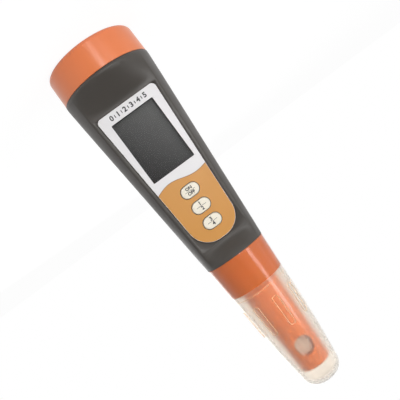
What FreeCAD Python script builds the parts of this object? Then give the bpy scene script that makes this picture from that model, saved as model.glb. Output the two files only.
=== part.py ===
import FreeCAD, Part
import math
import os

# Pen style water quality tester. Sizes are in millimetres.
# It stands on the flat end of its battery cap at z = 0. The clear cap's tip is at the top,
# and the display and the keys face -Y.

# Overall stack along the axis
cap_height = 12.8
housing_length = 85.3
clear_cap_length = 61.8
seam_gap = 0.1

# Housing moulding
head_radius = 19.8
head_narrowing = 0.75
seam_radius = 13.2
seam_flare = 0.52
head_lip = 1.3
head_slope_length = 10.3
end_slope_length = 5.8
seam_lip = 0.5
flat_top_front = 11.4
flat_end_front = 7.9
crease_round = 1.0
head_ease = 1.3
end_ease = 1.1
ease_steps = 3
side_wall = 2.2
flat_wall = 2.0
end_wall = 7.8

# Neck and its seal
neck_length = 8.6
neck_wall = 1.2
seal_thickness = 1.4
seal_squeeze = 0.25
seal_offset = 0.9

# Battery cap
cap_inset = 0.1
cap_draft = 0.2
cap_wall = 1.95
cap_end_round = 2.2
cap_bore_round = 0.9
cap_rim_round = 0.3
cap_end_wall = 2.2
thread_room = 0.55
coin_slot_width = 2.4
coin_slot_length = 17.0
coin_slot_depth = 1.0
swivel_post_radius = 1.6
swivel_spigot_radius = 1.0
swivel_washer_radius = 3.0
swivel_washer_thickness = 0.45
swivel_play = 0.15
running_clearance = 0.05

# Contact carrier in the battery cap
carrier_side_gap = 0.6
carrier_thickness = 1.4
carrier_lift = 0.2
strip_thickness = 0.3
strip_overhang = 4.2
strip_width = 6.4
dimple_base_radius = 2.2
dimple_top_radius = 1.2
dimple_height = 0.75
contact_gap = 0.03
leg_width = 5.0
leg_thickness = 1.6
leg_length = 9.0
leg_inset = 4.0
leg_clearance = 0.3

# Button cells and their holder
cell_radius = 5.8
cell_height = 5.4
cells_per_stack = 2
cell_rim_round = 0.5
cell_crimp = 0.5
cell_cap_radius = 4.6
stack_gap = 1.0
pocket_clearance = 0.15
holder_clearance = 0.1
holder_mouth_gap = 0.2
holder_floor = 1.2
spring_height = 2.0
spring_thickness = 0.3
spring_length = 7.0
spring_width = 3.4
tab_length = 1.2
tab_width = 2.0
tab_thickness = 0.5

# Screws that hold the battery holder
screw_inset = 2.8
screw_angle = 40.0
screw_radius = 0.95
screw_head_radius = 1.8
screw_head_height = 1.3
screw_bite = 4.5
counterbore_clearance = 0.25
screw_seat = 4.0
lug_wall = 1.9
lug_base = 1.5

# Front label and display window
label_inset = 1.6
label_end_inset = 1.9
label_side_inset = 5.55
label_taper = 0.0616
label_corner = 1.8
label_thickness = 0.3
label_recess = 0.2
label_clearance = 0.12
window_inset = 4.6
window_end_inset = 32.0
window_corner = 0.4
lens_margin = 1.2
lens_thickness = 1.2
lens_corner = 0.8
lens_clearance = 0.08

# Display behind the window
lcd_side_inset = 5.85
lcd_side_margin = 1.4
lcd_end_margin = 2.15
lcd_glass_thickness = 1.1
lcd_ledge = 2.4
lcd_corner = 0.2
gasket_thickness = 1.2
gasket_border = 1.4
lcd_frame_wall = 1.0
lcd_frame_clearance = 0.1
zebra_height = 1.6
zebra_width = 1.8
zebra_end_inset = 1.5

# Circuit board
board_thickness = 1.0
board_inset = 2.8
board_end_gap = 1.5
board_head_width = 24.8
board_tail_width = 22.0
board_step_gap = 2.15
board_corner = 0.6
rail_depth = 0.9
rail_thickness = 0.8
rail_clearance = 0.08

# Keys and their switches
last_key_inset = 7.4
key_pitch = 7.25
key_width = 7.6
key_height = 4.85
key_proud = 0.55
key_crown = 0.3
key_clearance = 0.15
key_flange_margin = 0.7
key_flange_thickness = 0.7
key_play = 0.1
key_stem_radius = 1.6
key_travel = 0.35
switch_size = 5.2
switch_height = 1.5
switch_corner = 0.3
plunger_radius = 1.3
plunger_reach = 0.6
plunger_proud = 0.7
plunger_gap = 0.03
key_names = ("power", "hold", "mode")

# Parts on the back of the board
chip_size = 7.0
chip_height = 1.2
chip_offset = 2.55
chip_lead_count = 8
chip_lead_pitch = 0.8
chip_lead_width = 0.35
chip_lead_reach = 1.0
chip_lead_thickness = 0.3
crystal_length = 6.0
crystal_width = 2.4
crystal_end_round = 1.14
crystal_offset = 7.5
passive_length = 1.6
passive_width = 0.8
passive_height = 0.6
passive_rows = 5
passive_pitch = 3.2
passive_column = 7.6
socket_width = 9.6
socket_length = 4.6
socket_height = 3.2
socket_inset = 4.8
socket_wall = 0.6
plug_length = 4.0
plug_insert = 3.0
plug_clearance = 0.05

# Probe
spigot_radius = 9.0
spigot_front = 5.5
spigot_length = 6.8
spigot_clearance = 0.05
stub_length = 14.6
stub_edge_round = 0.8
stub_step_height = 1.8
probe_root_radius = 8.2
probe_end_radius = 6.3
probe_reach = 54.5
probe_end_round = 0.9
wire_bore_radius = 4.5
core_radius = 5.0
core_from_seam = 18.7
guard_window_width = 7.0
guard_window_length = 8.2
guard_window_from_end = 5.9
blade_width = 7.0
blade_thickness = 2.0
blade_seat = 1.5
blade_end_gap = 5.3
face_seal_radius = 10.4
face_seal_thickness = 1.3

# Electrodes and temperature sensor
pin_radius = 0.7
pin_offset = 2.2
pin_tail = 2.0
pin_tip_round = 0.3
pin_tip_gap = 0.5
sensor_wire_radius = 0.42
lead_radius = 0.55
lead_landing = 2.2
lead_foot = 2.75
wire_bend_share = 0.45

# Clear cap
clear_inset = 0.1
clear_taper = 0.0740
clear_bend = 40.6
clear_bend_radius = 10.4
clear_shoulder = 56.1
clear_shoulder_radius = 8.6
clear_tip_radius = 7.9
clear_tip_round = 5.3
clear_bend_round = 150.0
clear_shoulder_round = 40.0
clear_lip_round = 0.3
clear_mouth_wall = 1.1
clear_wall = 1.5
clear_step = 16.4
clear_step_height = 1.2
clear_fit = 0.12

# Radii that follow from the head and the seam
flat_top_radius = head_radius - head_narrowing
flat_end_radius = seam_radius + seam_flare
cap_rim_radius = head_radius - cap_inset
cap_end_radius = cap_rim_radius - cap_draft
cap_bore = cap_rim_radius - cap_wall
neck_radius = cap_bore - thread_room
neck_bore = neck_radius - neck_wall
carrier_radius = neck_bore - carrier_side_gap
leg_offset = neck_bore - leg_inset
screw_circle = neck_bore - screw_inset
stack_offset = cell_radius + stack_gap / 2
strip_length = 2 * (stack_offset + strip_overhang)
clear_mouth_radius = seam_radius - clear_inset

# Widths across the front that follow from the barrel
label_top_half_width = flat_top_radius - label_side_inset
lcd_width = 2 * (flat_top_radius - side_wall - lcd_side_inset)
window_width = lcd_width - 2 * lcd_side_margin
zebra_length = lcd_width - 2 * zebra_end_inset

# Heights that follow from the stack
housing_base_z = cap_height
seam_z = housing_base_z + housing_length
clear_base_z = seam_z + seam_gap
tip_z = clear_base_z + clear_cap_length
head_slope_z = housing_base_z + head_lip
flat_top_z = head_slope_z + head_slope_length
seam_slope_z = seam_z - seam_lip
flat_end_z = seam_slope_z - end_slope_length
flat_length = flat_end_z - flat_top_z
cavity_end_z = seam_z - end_wall
neck_end_z = housing_base_z - neck_length
cap_rim_z = cap_height - seam_gap
label_top = flat_top_z + label_inset
label_end = flat_end_z - label_end_inset
window_top = label_top + window_inset
window_end = label_end - window_end_inset
window_length = window_end - window_top
window_middle = window_top + window_length / 2
lcd_length = window_length + 2 * lcd_end_margin
last_key_z = label_end - last_key_inset
board_top = flat_top_z + board_inset
board_end = cavity_end_z - board_end_gap
board_step = window_middle + lcd_length / 2 + board_step_gap
chip_centre = window_middle + chip_offset
socket_end = board_end - socket_inset
core_top = seam_z + core_from_seam
probe_end_z = seam_z + probe_reach
guard_window_z = probe_end_z - guard_window_from_end - guard_window_length
blade_end_z = probe_end_z - blade_end_gap

# Heights in the battery compartment
carrier_z = cap_end_wall + carrier_lift
strip_z = carrier_z + carrier_thickness
washer_z = strip_z + strip_thickness + swivel_play
cells_z = strip_z + strip_thickness + dimple_height + contact_gap
stack_end_z = cells_z + cells_per_stack * cell_height
holder_z = cells_z + holder_mouth_gap
pocket_end_z = stack_end_z + spring_height
holder_end_z = pocket_end_z + holder_floor

# Depths behind the front flat
lens_back = label_recess + lens_thickness
lcd_front = flat_wall + gasket_thickness
lcd_back = lcd_front + 2 * lcd_glass_thickness
board_front = lcd_back + zebra_height
board_back = board_front + board_thickness
switch_front = board_front - switch_height
plunger_front = switch_front - plunger_proud
flange_front = flat_wall + key_play
stem_end = plunger_front - plunger_gap

# The front flat leans back a little, so that it follows the taper
flat_slope = (flat_top_front - flat_end_front) / flat_length
flat_angle = math.degrees(math.atan(flat_slope))
flat_at_origin = flat_top_front + flat_top_z * flat_slope

origin = FreeCAD.Vector(0, 0, 0)
x_axis = FreeCAD.Vector(1, 0, 0)
y_axis = FreeCAD.Vector(0, 1, 0)
z_axis = FreeCAD.Vector(0, 0, 1)
full_turn = 360
margin = 1.0
tiny = 1e-4
pieces = {}

flat_frame = FreeCAD.Placement(
    FreeCAD.Vector(0, -flat_at_origin, 0), FreeCAD.Rotation(x_axis, -flat_angle)
)


def corner_arc(before, corner, after, radius):
    """Start, middle and end of the arc that rounds one corner."""
    back = (before - corner).normalize()
    ahead = (after - corner).normalize()
    half = back.getAngle(ahead) / 2
    reach = radius / math.tan(half)
    inward = (back + ahead).normalize()
    middle = corner + inward * (radius / math.sin(half) - radius)
    return corner + back * reach, middle, corner + ahead * reach


def rounded_outline(corners):
    """Closed outline in the XZ plane from corners of (x, z, rounding radius)."""
    points = [FreeCAD.Vector(x, 0, z) for x, z, _ in corners]
    stops = []
    for here, (_, _, radius) in enumerate(corners):
        after = points[(here + 1) % len(points)]
        if radius > 0:
            stops.append(corner_arc(points[here - 1], points[here], after, radius))
        else:
            stops.append((points[here], points[here], points[here]))
    edges = []
    for here, (start, middle, end) in enumerate(stops):
        if start.distanceToPoint(end) > tiny:
            edges.append(Part.Arc(start, middle, end).toShape())
        following = stops[(here + 1) % len(stops)][0]
        if end.distanceToPoint(following) > tiny:
            edges.append(Part.LineSegment(end, following).toShape())
    return Part.Wire(edges)


def turned(*corners):
    """Solid turned about the axis from corners of (radius, z, rounding radius)."""
    return Part.Face(rounded_outline(corners)).revolve(origin, z_axis, full_turn)


def rectangle(width, low, high, corner):
    """Corners of an upright rectangle that is centred on the axis."""
    half = width / 2
    return [(-half, low, corner), (half, low, corner), (half, high, corner), (-half, high, corner)]


def in_flat(shape):
    """The shape, drawn with y as depth behind the front flat, moved to its place."""
    shape.Placement = flat_frame.multiply(shape.Placement)
    return shape


def plate(corners, near, far):
    """Plate with a rounded outline between two depths behind the front flat."""
    face = Part.Face(rounded_outline(corners))
    face.translate(y_axis * near)
    return in_flat(face.extrude(y_axis * (far - near)))


def peg(x, z, radius, near, far):
    """Round peg square to the front flat between two depths."""
    return in_flat(Part.makeCylinder(radius, far - near, FreeCAD.Vector(x, near, z), y_axis))


def rod(x, y, radius, low, high):
    """Round rod along the axis direction."""
    return Part.makeCylinder(radius, high - low, FreeCAD.Vector(x, y, low), z_axis)


def block(width, depth, low, high, x=0, y=0):
    """Upright block that is centred on (x, y)."""
    return Part.makeBox(width, depth, high - low, FreeCAD.Vector(x - width / 2, y - depth / 2, low))


def tube(points, radius):
    """Insulated wire along straight runs that are joined by wide tangent arcs."""
    runs = [start.distanceToPoint(end) for start, end in zip(points, points[1:])]
    edges = []
    last = points[0]
    for here in range(1, len(points) - 1):
        before = points[here - 1] - points[here]
        after = points[here + 1] - points[here]
        reach = wire_bend_share * min(runs[here - 1], runs[here])
        bend = reach * math.tan(before.getAngle(after) / 2)
        start, middle, end = corner_arc(points[here - 1], points[here], points[here + 1], bend)
        edges += [Part.LineSegment(last, start).toShape(), Part.Arc(start, middle, end).toShape()]
        last = end
    edges.append(Part.LineSegment(last, points[-1]).toShape())
    path = Part.Wire(edges)
    ring = Part.Wire(Part.makeCircle(radius, points[0], points[1] - points[0]))
    return path.makePipeShell([ring], True, False)


def flat_front(z):
    """Distance from the axis to the front flat at a height."""
    return flat_at_origin - z * flat_slope


def barrel_radius(z):
    """Outside radius of the round back at a height along the flat."""
    along = (z - flat_top_z) / flat_length
    return flat_top_radius + (flat_end_radius - flat_top_radius) * along


def section(z, radius, front, corner, roundness):
    """Outline across the barrel: a round back, two soft corners and a front.
    The front is flat at a roundness of 0 and completes the circle at 1."""
    centre = FreeCAD.Vector(
        math.sqrt((radius - corner) ** 2 - (front - corner) ** 2), corner - front, 0
    )
    shoulder = centre * (radius / (radius - corner))
    middle = centre + (FreeCAD.Vector(centre).normalize() - y_axis).normalize() * corner
    toe = centre - y_axis * corner
    middle = middle + middle * (radius / middle.Length - 1) * roundness
    toe = toe + toe * (radius / toe.Length - 1) * roundness
    right = [point + z_axis * z for point in (shoulder, middle, toe)]
    left = [FreeCAD.Vector(-point.x, point.y, point.z) for point in reversed(right)]
    back = Part.Arc(right[0], FreeCAD.Vector(0, radius, z), left[-1]).toShape()
    corners = [Part.Arc(*left).toShape(), Part.Arc(*right).toShape()]
    if roundness > 0:
        reach = front + (radius - front) * roundness
        face = Part.Arc(left[0], FreeCAD.Vector(0, -reach, z), right[-1]).toShape()
    else:
        face = Part.LineSegment(left[0], right[-1]).toShape()
    return Part.Wire([back, corners[0], face, corners[1]])


def eased_sections(bend_z, run, reach):
    """Sections that ease the bend between the flat and a slope that runs to a full circle."""
    sections = []
    side = math.copysign(1, run)
    for step in range(1 - ease_steps, ease_steps):
        offset = reach * step / ease_steps
        roundness = (reach + offset) ** 2 / (4 * reach * abs(run))
        z = bend_z + side * offset
        sections.append(section(z, barrel_radius(z), flat_front(z), crease_round, roundness))
    return sections


def barrel_form():
    """Outside of the housing: a tapered round body with a long flat scooped into its front."""
    head_front = head_radius * flat_top_front / flat_top_radius
    end_front = seam_radius * flat_end_front / flat_end_radius
    soft = crease_round
    top_bend = eased_sections(flat_top_z, head_slope_z - flat_top_z, head_ease)
    end_bend = eased_sections(flat_end_z, seam_slope_z - flat_end_z, end_ease)
    flat_from = flat_top_z + head_ease
    flat_to = flat_end_z - end_ease
    return Part.makeLoft(
        [
            section(housing_base_z, head_radius, head_front, soft, 1),
            section(head_slope_z, head_radius, head_front, soft, 1),
        ]
        + list(reversed(top_bend))
        + [
            section(flat_from, barrel_radius(flat_from), flat_front(flat_from), soft, 0),
            section(flat_to, barrel_radius(flat_to), flat_front(flat_to), soft, 0),
        ]
        + end_bend
        + [
            section(seam_slope_z, seam_radius, end_front, soft, 1),
            section(seam_z, seam_radius, end_front, soft, 1),
        ],
        True,
        True,
    )


def cavity_form(shrink):
    """Inside of the housing, less a clearance: the neck bore, then a hollow like the outside."""
    taper = (flat_top_radius - flat_end_radius) / flat_length
    narrowing_z = flat_top_z + (flat_top_radius - side_wall - neck_bore) / taper
    bore = neck_bore - shrink
    top_front = flat_front(flat_top_z) - flat_wall - shrink
    narrow_front = flat_front(narrowing_z) - flat_wall - shrink
    end_front = flat_front(cavity_end_z) - flat_wall - shrink
    end_radius = barrel_radius(cavity_end_z) - side_wall - shrink
    soft = crease_round
    return Part.makeLoft(
        [
            section(neck_end_z - margin, bore, top_front, soft, 1),
            section(head_slope_z, bore, top_front, soft, 1),
            section(flat_top_z, bore, top_front, soft, 0),
            section(narrowing_z, bore, narrow_front, soft, 0),
            section(cavity_end_z, end_radius, end_front, soft, 0),
        ],
        True,
        True,
    )


def label_outline(clearance):
    """Label outline: a tapered panel with two small corners and a half-round end."""
    lean = math.atan(label_taper)
    end = label_end + clearance
    top = label_top - clearance
    spread = clearance / math.cos(lean)
    half_top = label_top_half_width + spread + clearance * label_taper
    half_end = half_top - (end - top) * label_taper
    end_radius = half_end / math.tan((math.pi / 2 + lean) / 2) * (1 - tiny)
    corner = label_corner + clearance
    return [
        (-half_top, top, corner),
        (half_top, top, corner),
        (half_end, end, end_radius),
        (-half_end, end, end_radius),
    ]


def window_outline(extra, corner):
    """Display window outline, grown by extra on each side."""
    return rectangle(window_width + 2 * extra, window_top - extra, window_end + extra, corner)


def key_outline(z, extra):
    """Oval key outline, grown by extra on each side."""
    half = key_height / 2 + extra
    return rectangle(key_width + 2 * extra, z - half, z + half, half * (1 - tiny))


def key_heights():
    """Places of the keys along the flat."""
    count = len(key_names)
    return [last_key_z - key_pitch * (count - 1 - index) for index in range(count)]


def board_rails():
    """Two grooved rails that hold the edges of the circuit board."""
    rails = []
    inner = board_tail_width / 2 - rail_depth
    outer = barrel_radius(board_step)
    near = board_front - rail_clearance - rail_thickness
    far = board_back + rail_clearance + rail_thickness
    groove = board_tail_width / 2 + rail_clearance
    for side in (-1, 1):
        corners = [
            (side * inner, board_step + margin, 0),
            (side * outer, board_step + margin, 0),
            (side * outer, board_end, 0),
            (side * inner, board_end, 0),
        ]
        rails.append(plate(corners, near, far))
    slot = rectangle(2 * groove, board_step, board_end + margin, 0)
    return Part.makeCompound(rails).cut(
        plate(slot, board_front - rail_clearance, board_back + rail_clearance)
    )


def screw_places():
    """Places of the two holder screws, behind the cells."""
    angle = math.radians(screw_angle)
    x = screw_circle * math.cos(angle)
    y = screw_circle * math.sin(angle)
    return [(x, y), (-x, y)]


def screw_lugs():
    """Lugs on the housing wall that take the holder screws."""
    low = holder_end_z
    high = low + screw_bite + lug_base
    return [rod(x, y, screw_radius + lug_wall, low, high) for x, y in screw_places()]


def make_housing():
    """One-piece tapered housing with its neck, label recess, openings and inner rails."""
    neck = rod(0, 0, neck_radius, neck_end_z, housing_base_z + margin)
    cavity = cavity_form(0)
    for kept in [board_rails()] + screw_lugs():
        cavity = cavity.cut(kept)
    shell = barrel_form().fuse(neck).cut(cavity)
    cuts = [plate(label_outline(label_clearance), -margin, label_recess)]
    cuts.append(plate(window_outline(lens_margin + lens_clearance, lens_corner), 0, lens_back))
    cuts.append(plate(window_outline(0, window_corner), 0, flat_wall + margin))
    cuts += [plate(key_outline(z, key_clearance), 0, flat_wall + margin) for z in key_heights()]
    cuts += [
        rod(x, y, screw_radius, holder_end_z - margin, holder_end_z + screw_bite)
        for x, y in screw_places()
    ]
    cuts.append(spigot_form(spigot_clearance, cavity_end_z - margin, seam_z + margin))
    cuts.append(seal_groove())
    for cut in cuts:
        shell = shell.cut(cut)
    return shell


def seal_centre():
    """Radius and height of the neck seal's centre line."""
    radius = cap_bore - seal_thickness / 2 - running_clearance
    return radius, housing_base_z - seal_offset - seal_thickness / 2


def seal_groove():
    """Groove round the neck for its seal."""
    radius, z = seal_centre()
    floor = radius - seal_thickness / 2
    low = z - seal_thickness / 2 - seal_squeeze
    high = z + seal_thickness / 2 + seal_squeeze
    outer = neck_radius + thread_room
    return turned((floor, low, 0), (outer, low, 0), (outer, high, 0), (floor, high, 0))


def spigot_form(clearance, low, high):
    """Round spigot with a flat front, which keys the probe to the housing."""
    radius = spigot_radius + clearance
    front = spigot_front + clearance
    wires = [section(z, radius, front, crease_round, 0) for z in (low, high)]
    return Part.makeLoft(wires, True, True)


def make_battery_cap():
    """Screw cap with a smooth skirt, a coin slot and a central swivel post."""
    post_top = washer_z
    spigot_top = post_top + swivel_washer_thickness
    body = turned(
        (0, 0, 0),
        (cap_end_radius, 0, cap_end_round),
        (cap_rim_radius, cap_rim_z, cap_rim_round),
        (cap_bore, cap_rim_z, 0),
        (cap_bore, cap_end_wall, cap_bore_round),
        (swivel_post_radius, cap_end_wall, 0),
        (swivel_post_radius, post_top, 0),
        (swivel_spigot_radius, post_top, 0),
        (swivel_spigot_radius, spigot_top, 0),
        (0, spigot_top, 0),
    )
    slot = block(coin_slot_length, coin_slot_width, -margin, coin_slot_depth)
    return body.cut(slot)


def make_swivel_washer():
    """Push-on washer that keeps the contact carrier on its post."""
    low = washer_z
    high = washer_z + swivel_washer_thickness
    inner = swivel_spigot_radius
    outer = swivel_washer_radius
    return turned((inner, low, 0), (outer, low, 0), (outer, high, 0), (inner, high, 0))


def make_carrier():
    """Plastic disc that turns on the cap's post and is kept from turning by two legs."""
    disc = rod(0, 0, carrier_radius, carrier_z, strip_z)
    for side in (-1, 1):
        y = side * leg_offset
        disc = disc.fuse(block(leg_width, leg_thickness, carrier_z, strip_z + leg_length, 0, y))
    return disc.cut(rod(0, 0, swivel_post_radius + running_clearance, 0, strip_z + margin))


def make_contact_strip():
    """Spring strip that bridges the two cell stacks, with a dimple for each."""
    strip = block(strip_length, strip_width, strip_z, strip_z + strip_thickness)
    base = strip_z + strip_thickness
    for side in (-1, 1):
        place = FreeCAD.Vector(side * stack_offset, 0, base)
        dimple = Part.makeCone(dimple_base_radius, dimple_top_radius, dimple_height, place, z_axis)
        strip = strip.fuse(dimple)
    hole = swivel_post_radius + 2 * running_clearance
    return strip.cut(rod(0, 0, hole, strip_z - margin, base + margin)).removeSplitter()


def make_cell(side, level):
    """Button cell: a crimped can with a smaller cap on its negative side."""
    crimp_z = cell_height - 2 * cell_crimp
    cell = turned(
        (0, 0, 0),
        (cell_radius, 0, cell_rim_round),
        (cell_radius, crimp_z, 0),
        (cell_cap_radius + cell_crimp, crimp_z + cell_crimp, 0),
        (cell_cap_radius, crimp_z + cell_crimp, 0),
        (cell_cap_radius, cell_height, 0),
        (0, cell_height, 0),
    )
    if side > 0:
        cell.rotate(FreeCAD.Vector(0, 0, cell_height / 2), x_axis, full_turn / 2)
    cell.translate(FreeCAD.Vector(side * stack_offset, 0, cells_z + level * cell_height))
    return cell


def make_holder():
    """Holder with a pocket for each stack, slots for the carrier legs and two screw seats."""
    room = block(2 * neck_bore, 2 * neck_bore, holder_z, holder_end_z)
    body = cavity_form(holder_clearance).common(room)
    slot_width = leg_width + 2 * leg_clearance
    slot_depth = leg_thickness + 2 * leg_clearance
    slot_end = strip_z + leg_length + leg_clearance
    for side in (-1, 1):
        x = side * stack_offset
        body = body.cut(rod(x, 0, cell_radius + pocket_clearance, holder_z - margin, pocket_end_z))
        tab_hole = block(tab_width, tab_thickness, pocket_end_z - margin, holder_end_z + margin, x)
        body = body.cut(tab_hole)
        y = side * leg_offset
        body = body.cut(block(slot_width, slot_depth, holder_z - margin, slot_end, 0, y))
    seat = holder_end_z - screw_seat
    for x, y in screw_places():
        body = body.cut(rod(x, y, screw_head_radius + counterbore_clearance, holder_z - margin, seat))
        body = body.cut(rod(x, y, screw_radius, seat - margin, holder_end_z + margin))
    return body


def make_cell_spring(side):
    """Folded leaf spring at the end of a stack, with a solder tab through the holder floor."""
    x = side * stack_offset
    half = spring_length / 2
    thick = spring_thickness
    floor = pocket_end_z
    top = stack_end_z
    outline = [
        (-half, floor, 0),
        (half, floor, 0),
        (half, floor - thick, 0),
        (-half + 2 * thick, floor - thick, 0),
        (0, top + thick, 0),
        (half / 2, top + thick, 0),
        (half / 2, top, 0),
        (-thick, top, 0),
        (-half, floor - thick, 0),
    ]
    leaf = Part.Face(rounded_outline(outline)).extrude(y_axis * spring_width)
    leaf.translate(FreeCAD.Vector(x, -spring_width / 2, 0))
    tab = block(tab_width, tab_thickness, floor - thick, holder_end_z + tab_length, x)
    return leaf.fuse(tab).removeSplitter()


def make_holder_screws():
    """The two pan-head screws of the battery holder."""
    seat = holder_end_z - screw_seat
    tip = holder_end_z + screw_bite
    screws = []
    for x, y in screw_places():
        screw = turned(
            (0, seat - screw_head_height, 0),
            (screw_head_radius, seat - screw_head_height, screw_head_height / 2),
            (screw_head_radius, seat, 0),
            (screw_radius, seat, 0),
            (screw_radius, tip - screw_radius, 0),
            (0, tip, 0),
        )
        screw.translate(FreeCAD.Vector(x, y, 0))
        screws.append(screw)
    return Part.makeCompound(screws)


def make_label():
    """Printed film on the flat, with openings for the window and the keys."""
    film = plate(label_outline(0), label_recess - label_thickness, label_recess)
    film = film.cut(plate(window_outline(0, window_corner), -margin, margin))
    for z in key_heights():
        film = film.cut(plate(key_outline(z, key_clearance), -margin, margin))
    return film


def make_gasket():
    """Foam frame between the housing and the display glass."""
    outer = lcd_outline(0)
    frame = plate(outer, flat_wall, lcd_front)
    return frame.cut(plate(window_outline(gasket_border / 2, window_corner), 0, lcd_back))


def lcd_outline(extra):
    """Display glass outline, centred on the window and grown by extra."""
    low = window_middle - lcd_length / 2 - extra
    high = window_middle + lcd_length / 2 + extra
    return rectangle(lcd_width + 2 * extra, low, high, lcd_corner + extra)


def make_lcd():
    """Display glass: a full front sheet on a shorter rear sheet."""
    middle = lcd_front + lcd_glass_thickness
    low = window_middle - lcd_length / 2
    rear = rectangle(lcd_width, low, low + lcd_length - lcd_ledge, lcd_corner)
    front_sheet = plate(lcd_outline(0), lcd_front, middle)
    return front_sheet.fuse(plate(rear, middle, lcd_back)).removeSplitter()


def make_lcd_frame():
    """Frame that holds the display glass over the board."""
    clear = lcd_frame_clearance
    frame = plate(lcd_outline(clear + lcd_frame_wall), lcd_front, board_front)
    return frame.cut(plate(lcd_outline(clear), lcd_front - margin, board_front + margin))


def make_zebra_strips():
    """Two rubber contact strips between the display glass and the board."""
    reach = lcd_length / 2 - lcd_ledge - zebra_width
    strips = []
    for low in (window_middle - reach - zebra_width, window_middle + reach - zebra_width):
        outline = rectangle(zebra_length, low, low + zebra_width, lcd_corner)
        strips.append(plate(outline, lcd_back, board_front))
    return Part.makeCompound(strips)


def make_board():
    """Circuit board with a wide head behind the display and a narrow tail in the rails."""
    head = board_head_width / 2
    tail = board_tail_width / 2
    corners = [
        (-head, board_top, board_corner),
        (head, board_top, board_corner),
        (head, board_step, board_corner),
        (tail, board_step, board_corner),
        (tail, board_end, board_corner),
        (-tail, board_end, board_corner),
        (-tail, board_step, board_corner),
        (-head, board_step, board_corner),
    ]
    return plate(corners, board_front, board_back)


def make_key(z):
    """Key with a crowned oval face, an inner flange and a stem to its switch."""
    face = plate(key_outline(z, 0), label_recess - label_thickness - key_proud, flange_front)
    rim = max(face.Faces, key=lambda side: -side.CenterOfMass.y).Edges
    face = face.makeFillet(key_crown, rim)
    flange_back = flange_front + key_flange_thickness
    flange = plate(key_outline(z, key_flange_margin), flange_front, flange_back)
    stem = peg(0, z, key_stem_radius, flange_front, stem_end)
    return face.fuse(flange).fuse(stem).removeSplitter()


def make_plunger(z):
    """Round plunger of a key's switch."""
    return peg(0, z, plunger_radius, plunger_front, switch_front + plunger_reach)


def make_switches():
    """Three low push switches on the board."""
    half = switch_size / 2
    bore = plunger_radius + running_clearance
    floor = switch_front + plunger_reach + key_travel + running_clearance
    switches = []
    for z in key_heights():
        body = plate(rectangle(switch_size, z - half, z + half, switch_corner), switch_front, board_front)
        switches.append(body.cut(peg(0, z, bore, switch_front - margin, floor)))
    return Part.makeCompound(switches)


def make_chip():
    """Square processor with a row of leads on each side."""
    half = chip_size / 2
    reach = half + chip_lead_reach
    body = plate(
        rectangle(chip_size, chip_centre - half, chip_centre + half, lcd_corner),
        board_back + chip_lead_thickness / 2,
        board_back + chip_height,
    )
    first = -chip_lead_pitch * (chip_lead_count - 1) / 2
    for index in range(chip_lead_count):
        place = first + chip_lead_pitch * index
        wide = chip_lead_width / 2
        upright = rectangle(chip_lead_width, chip_centre - reach, chip_centre + reach, 0)
        shifted = [(x + place, z, corner) for x, z, corner in upright]
        level = rectangle(2 * reach, chip_centre + place - wide, chip_centre + place + wide, 0)
        for lead in (shifted, level):
            body = body.fuse(plate(lead, board_back, board_back + chip_lead_thickness))
    return body.removeSplitter()


def make_crystal():
    """Can of the clock crystal, beside the processor."""
    z = chip_centre + crystal_offset
    half = crystal_width / 2
    corners = rectangle(crystal_length, z - half, z + half, crystal_end_round)
    return plate(corners, board_back, board_back + crystal_width)


def make_passives():
    """Two columns of chip resistors and capacitors on the back of the board."""
    chips = []
    for side in (-1, 1):
        for row in range(passive_rows):
            z = chip_centre + (row - (passive_rows - 1) / 2) * passive_pitch
            outline = rectangle(passive_width, z - passive_length / 2, z + passive_length / 2, 0)
            shifted = [(x + side * passive_column, height, corner) for x, height, corner in outline]
            chips.append(plate(shifted, board_back, board_back + passive_height))
    return Part.makeCompound(chips)


def plug_outline(clearance, low):
    """Outline of the sensor plug from a height to its free end."""
    width = socket_width - 2 * socket_wall - 2 * clearance
    return rectangle(width, low + clearance, socket_end + plug_length - plug_insert, lcd_corner)


def make_socket():
    """Socket for the sensor plug, open towards the probe."""
    low = socket_end - socket_length
    body = plate(
        rectangle(socket_width, low, socket_end, lcd_corner), board_back, board_back + socket_height
    )
    near = board_back + socket_wall
    far = board_back + socket_height - socket_wall
    return body.cut(plate(plug_outline(0, socket_end - plug_insert), near, far))


def make_plug():
    """Plug on the end of the sensor wires."""
    near = board_back + socket_wall + plug_clearance
    far = board_back + socket_height - socket_wall - plug_clearance
    return plate(plug_outline(plug_clearance, socket_end - plug_insert), near, far)


def make_battery_lead(side):
    """Lead from a spring's solder tab to the back of the board."""
    x = side * stack_offset
    y = tab_thickness / 2 + lead_radius
    depth = board_back + lead_radius
    landing_z = board_top + lead_landing
    points = [
        FreeCAD.Vector(x, y, holder_end_z),
        FreeCAD.Vector(x, y, holder_end_z + 2 * tab_length),
        flat_frame.multVec(FreeCAD.Vector(x, depth, landing_z)),
        flat_frame.multVec(FreeCAD.Vector(x, depth, landing_z + lead_foot)),
    ]
    return tube(points, lead_radius)


def make_sensor_wires():
    """Three wires from the pins through the probe bore to the plug."""
    end = plug_outline(0, 0)[2][1]
    depth = board_back + socket_height / 2
    foot = core_top - pin_tail
    wires = []
    for x in pin_places().values():
        approach = flat_frame.multVec(FreeCAD.Vector(x, depth, end + spigot_length / 2))
        points = [
            FreeCAD.Vector(x, 0, foot),
            FreeCAD.Vector(x, 0, (foot + approach.z) / 2),
            approach,
            flat_frame.multVec(FreeCAD.Vector(x, depth, end)),
        ]
        wires.append(tube(points, sensor_wire_radius))
    return Part.makeCompound(wires)


def clear_bore(z):
    """Inside radius of the clear cap's mouth at a height."""
    return clear_mouth_radius - clear_mouth_wall - (z - clear_base_z) * clear_taper


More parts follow.
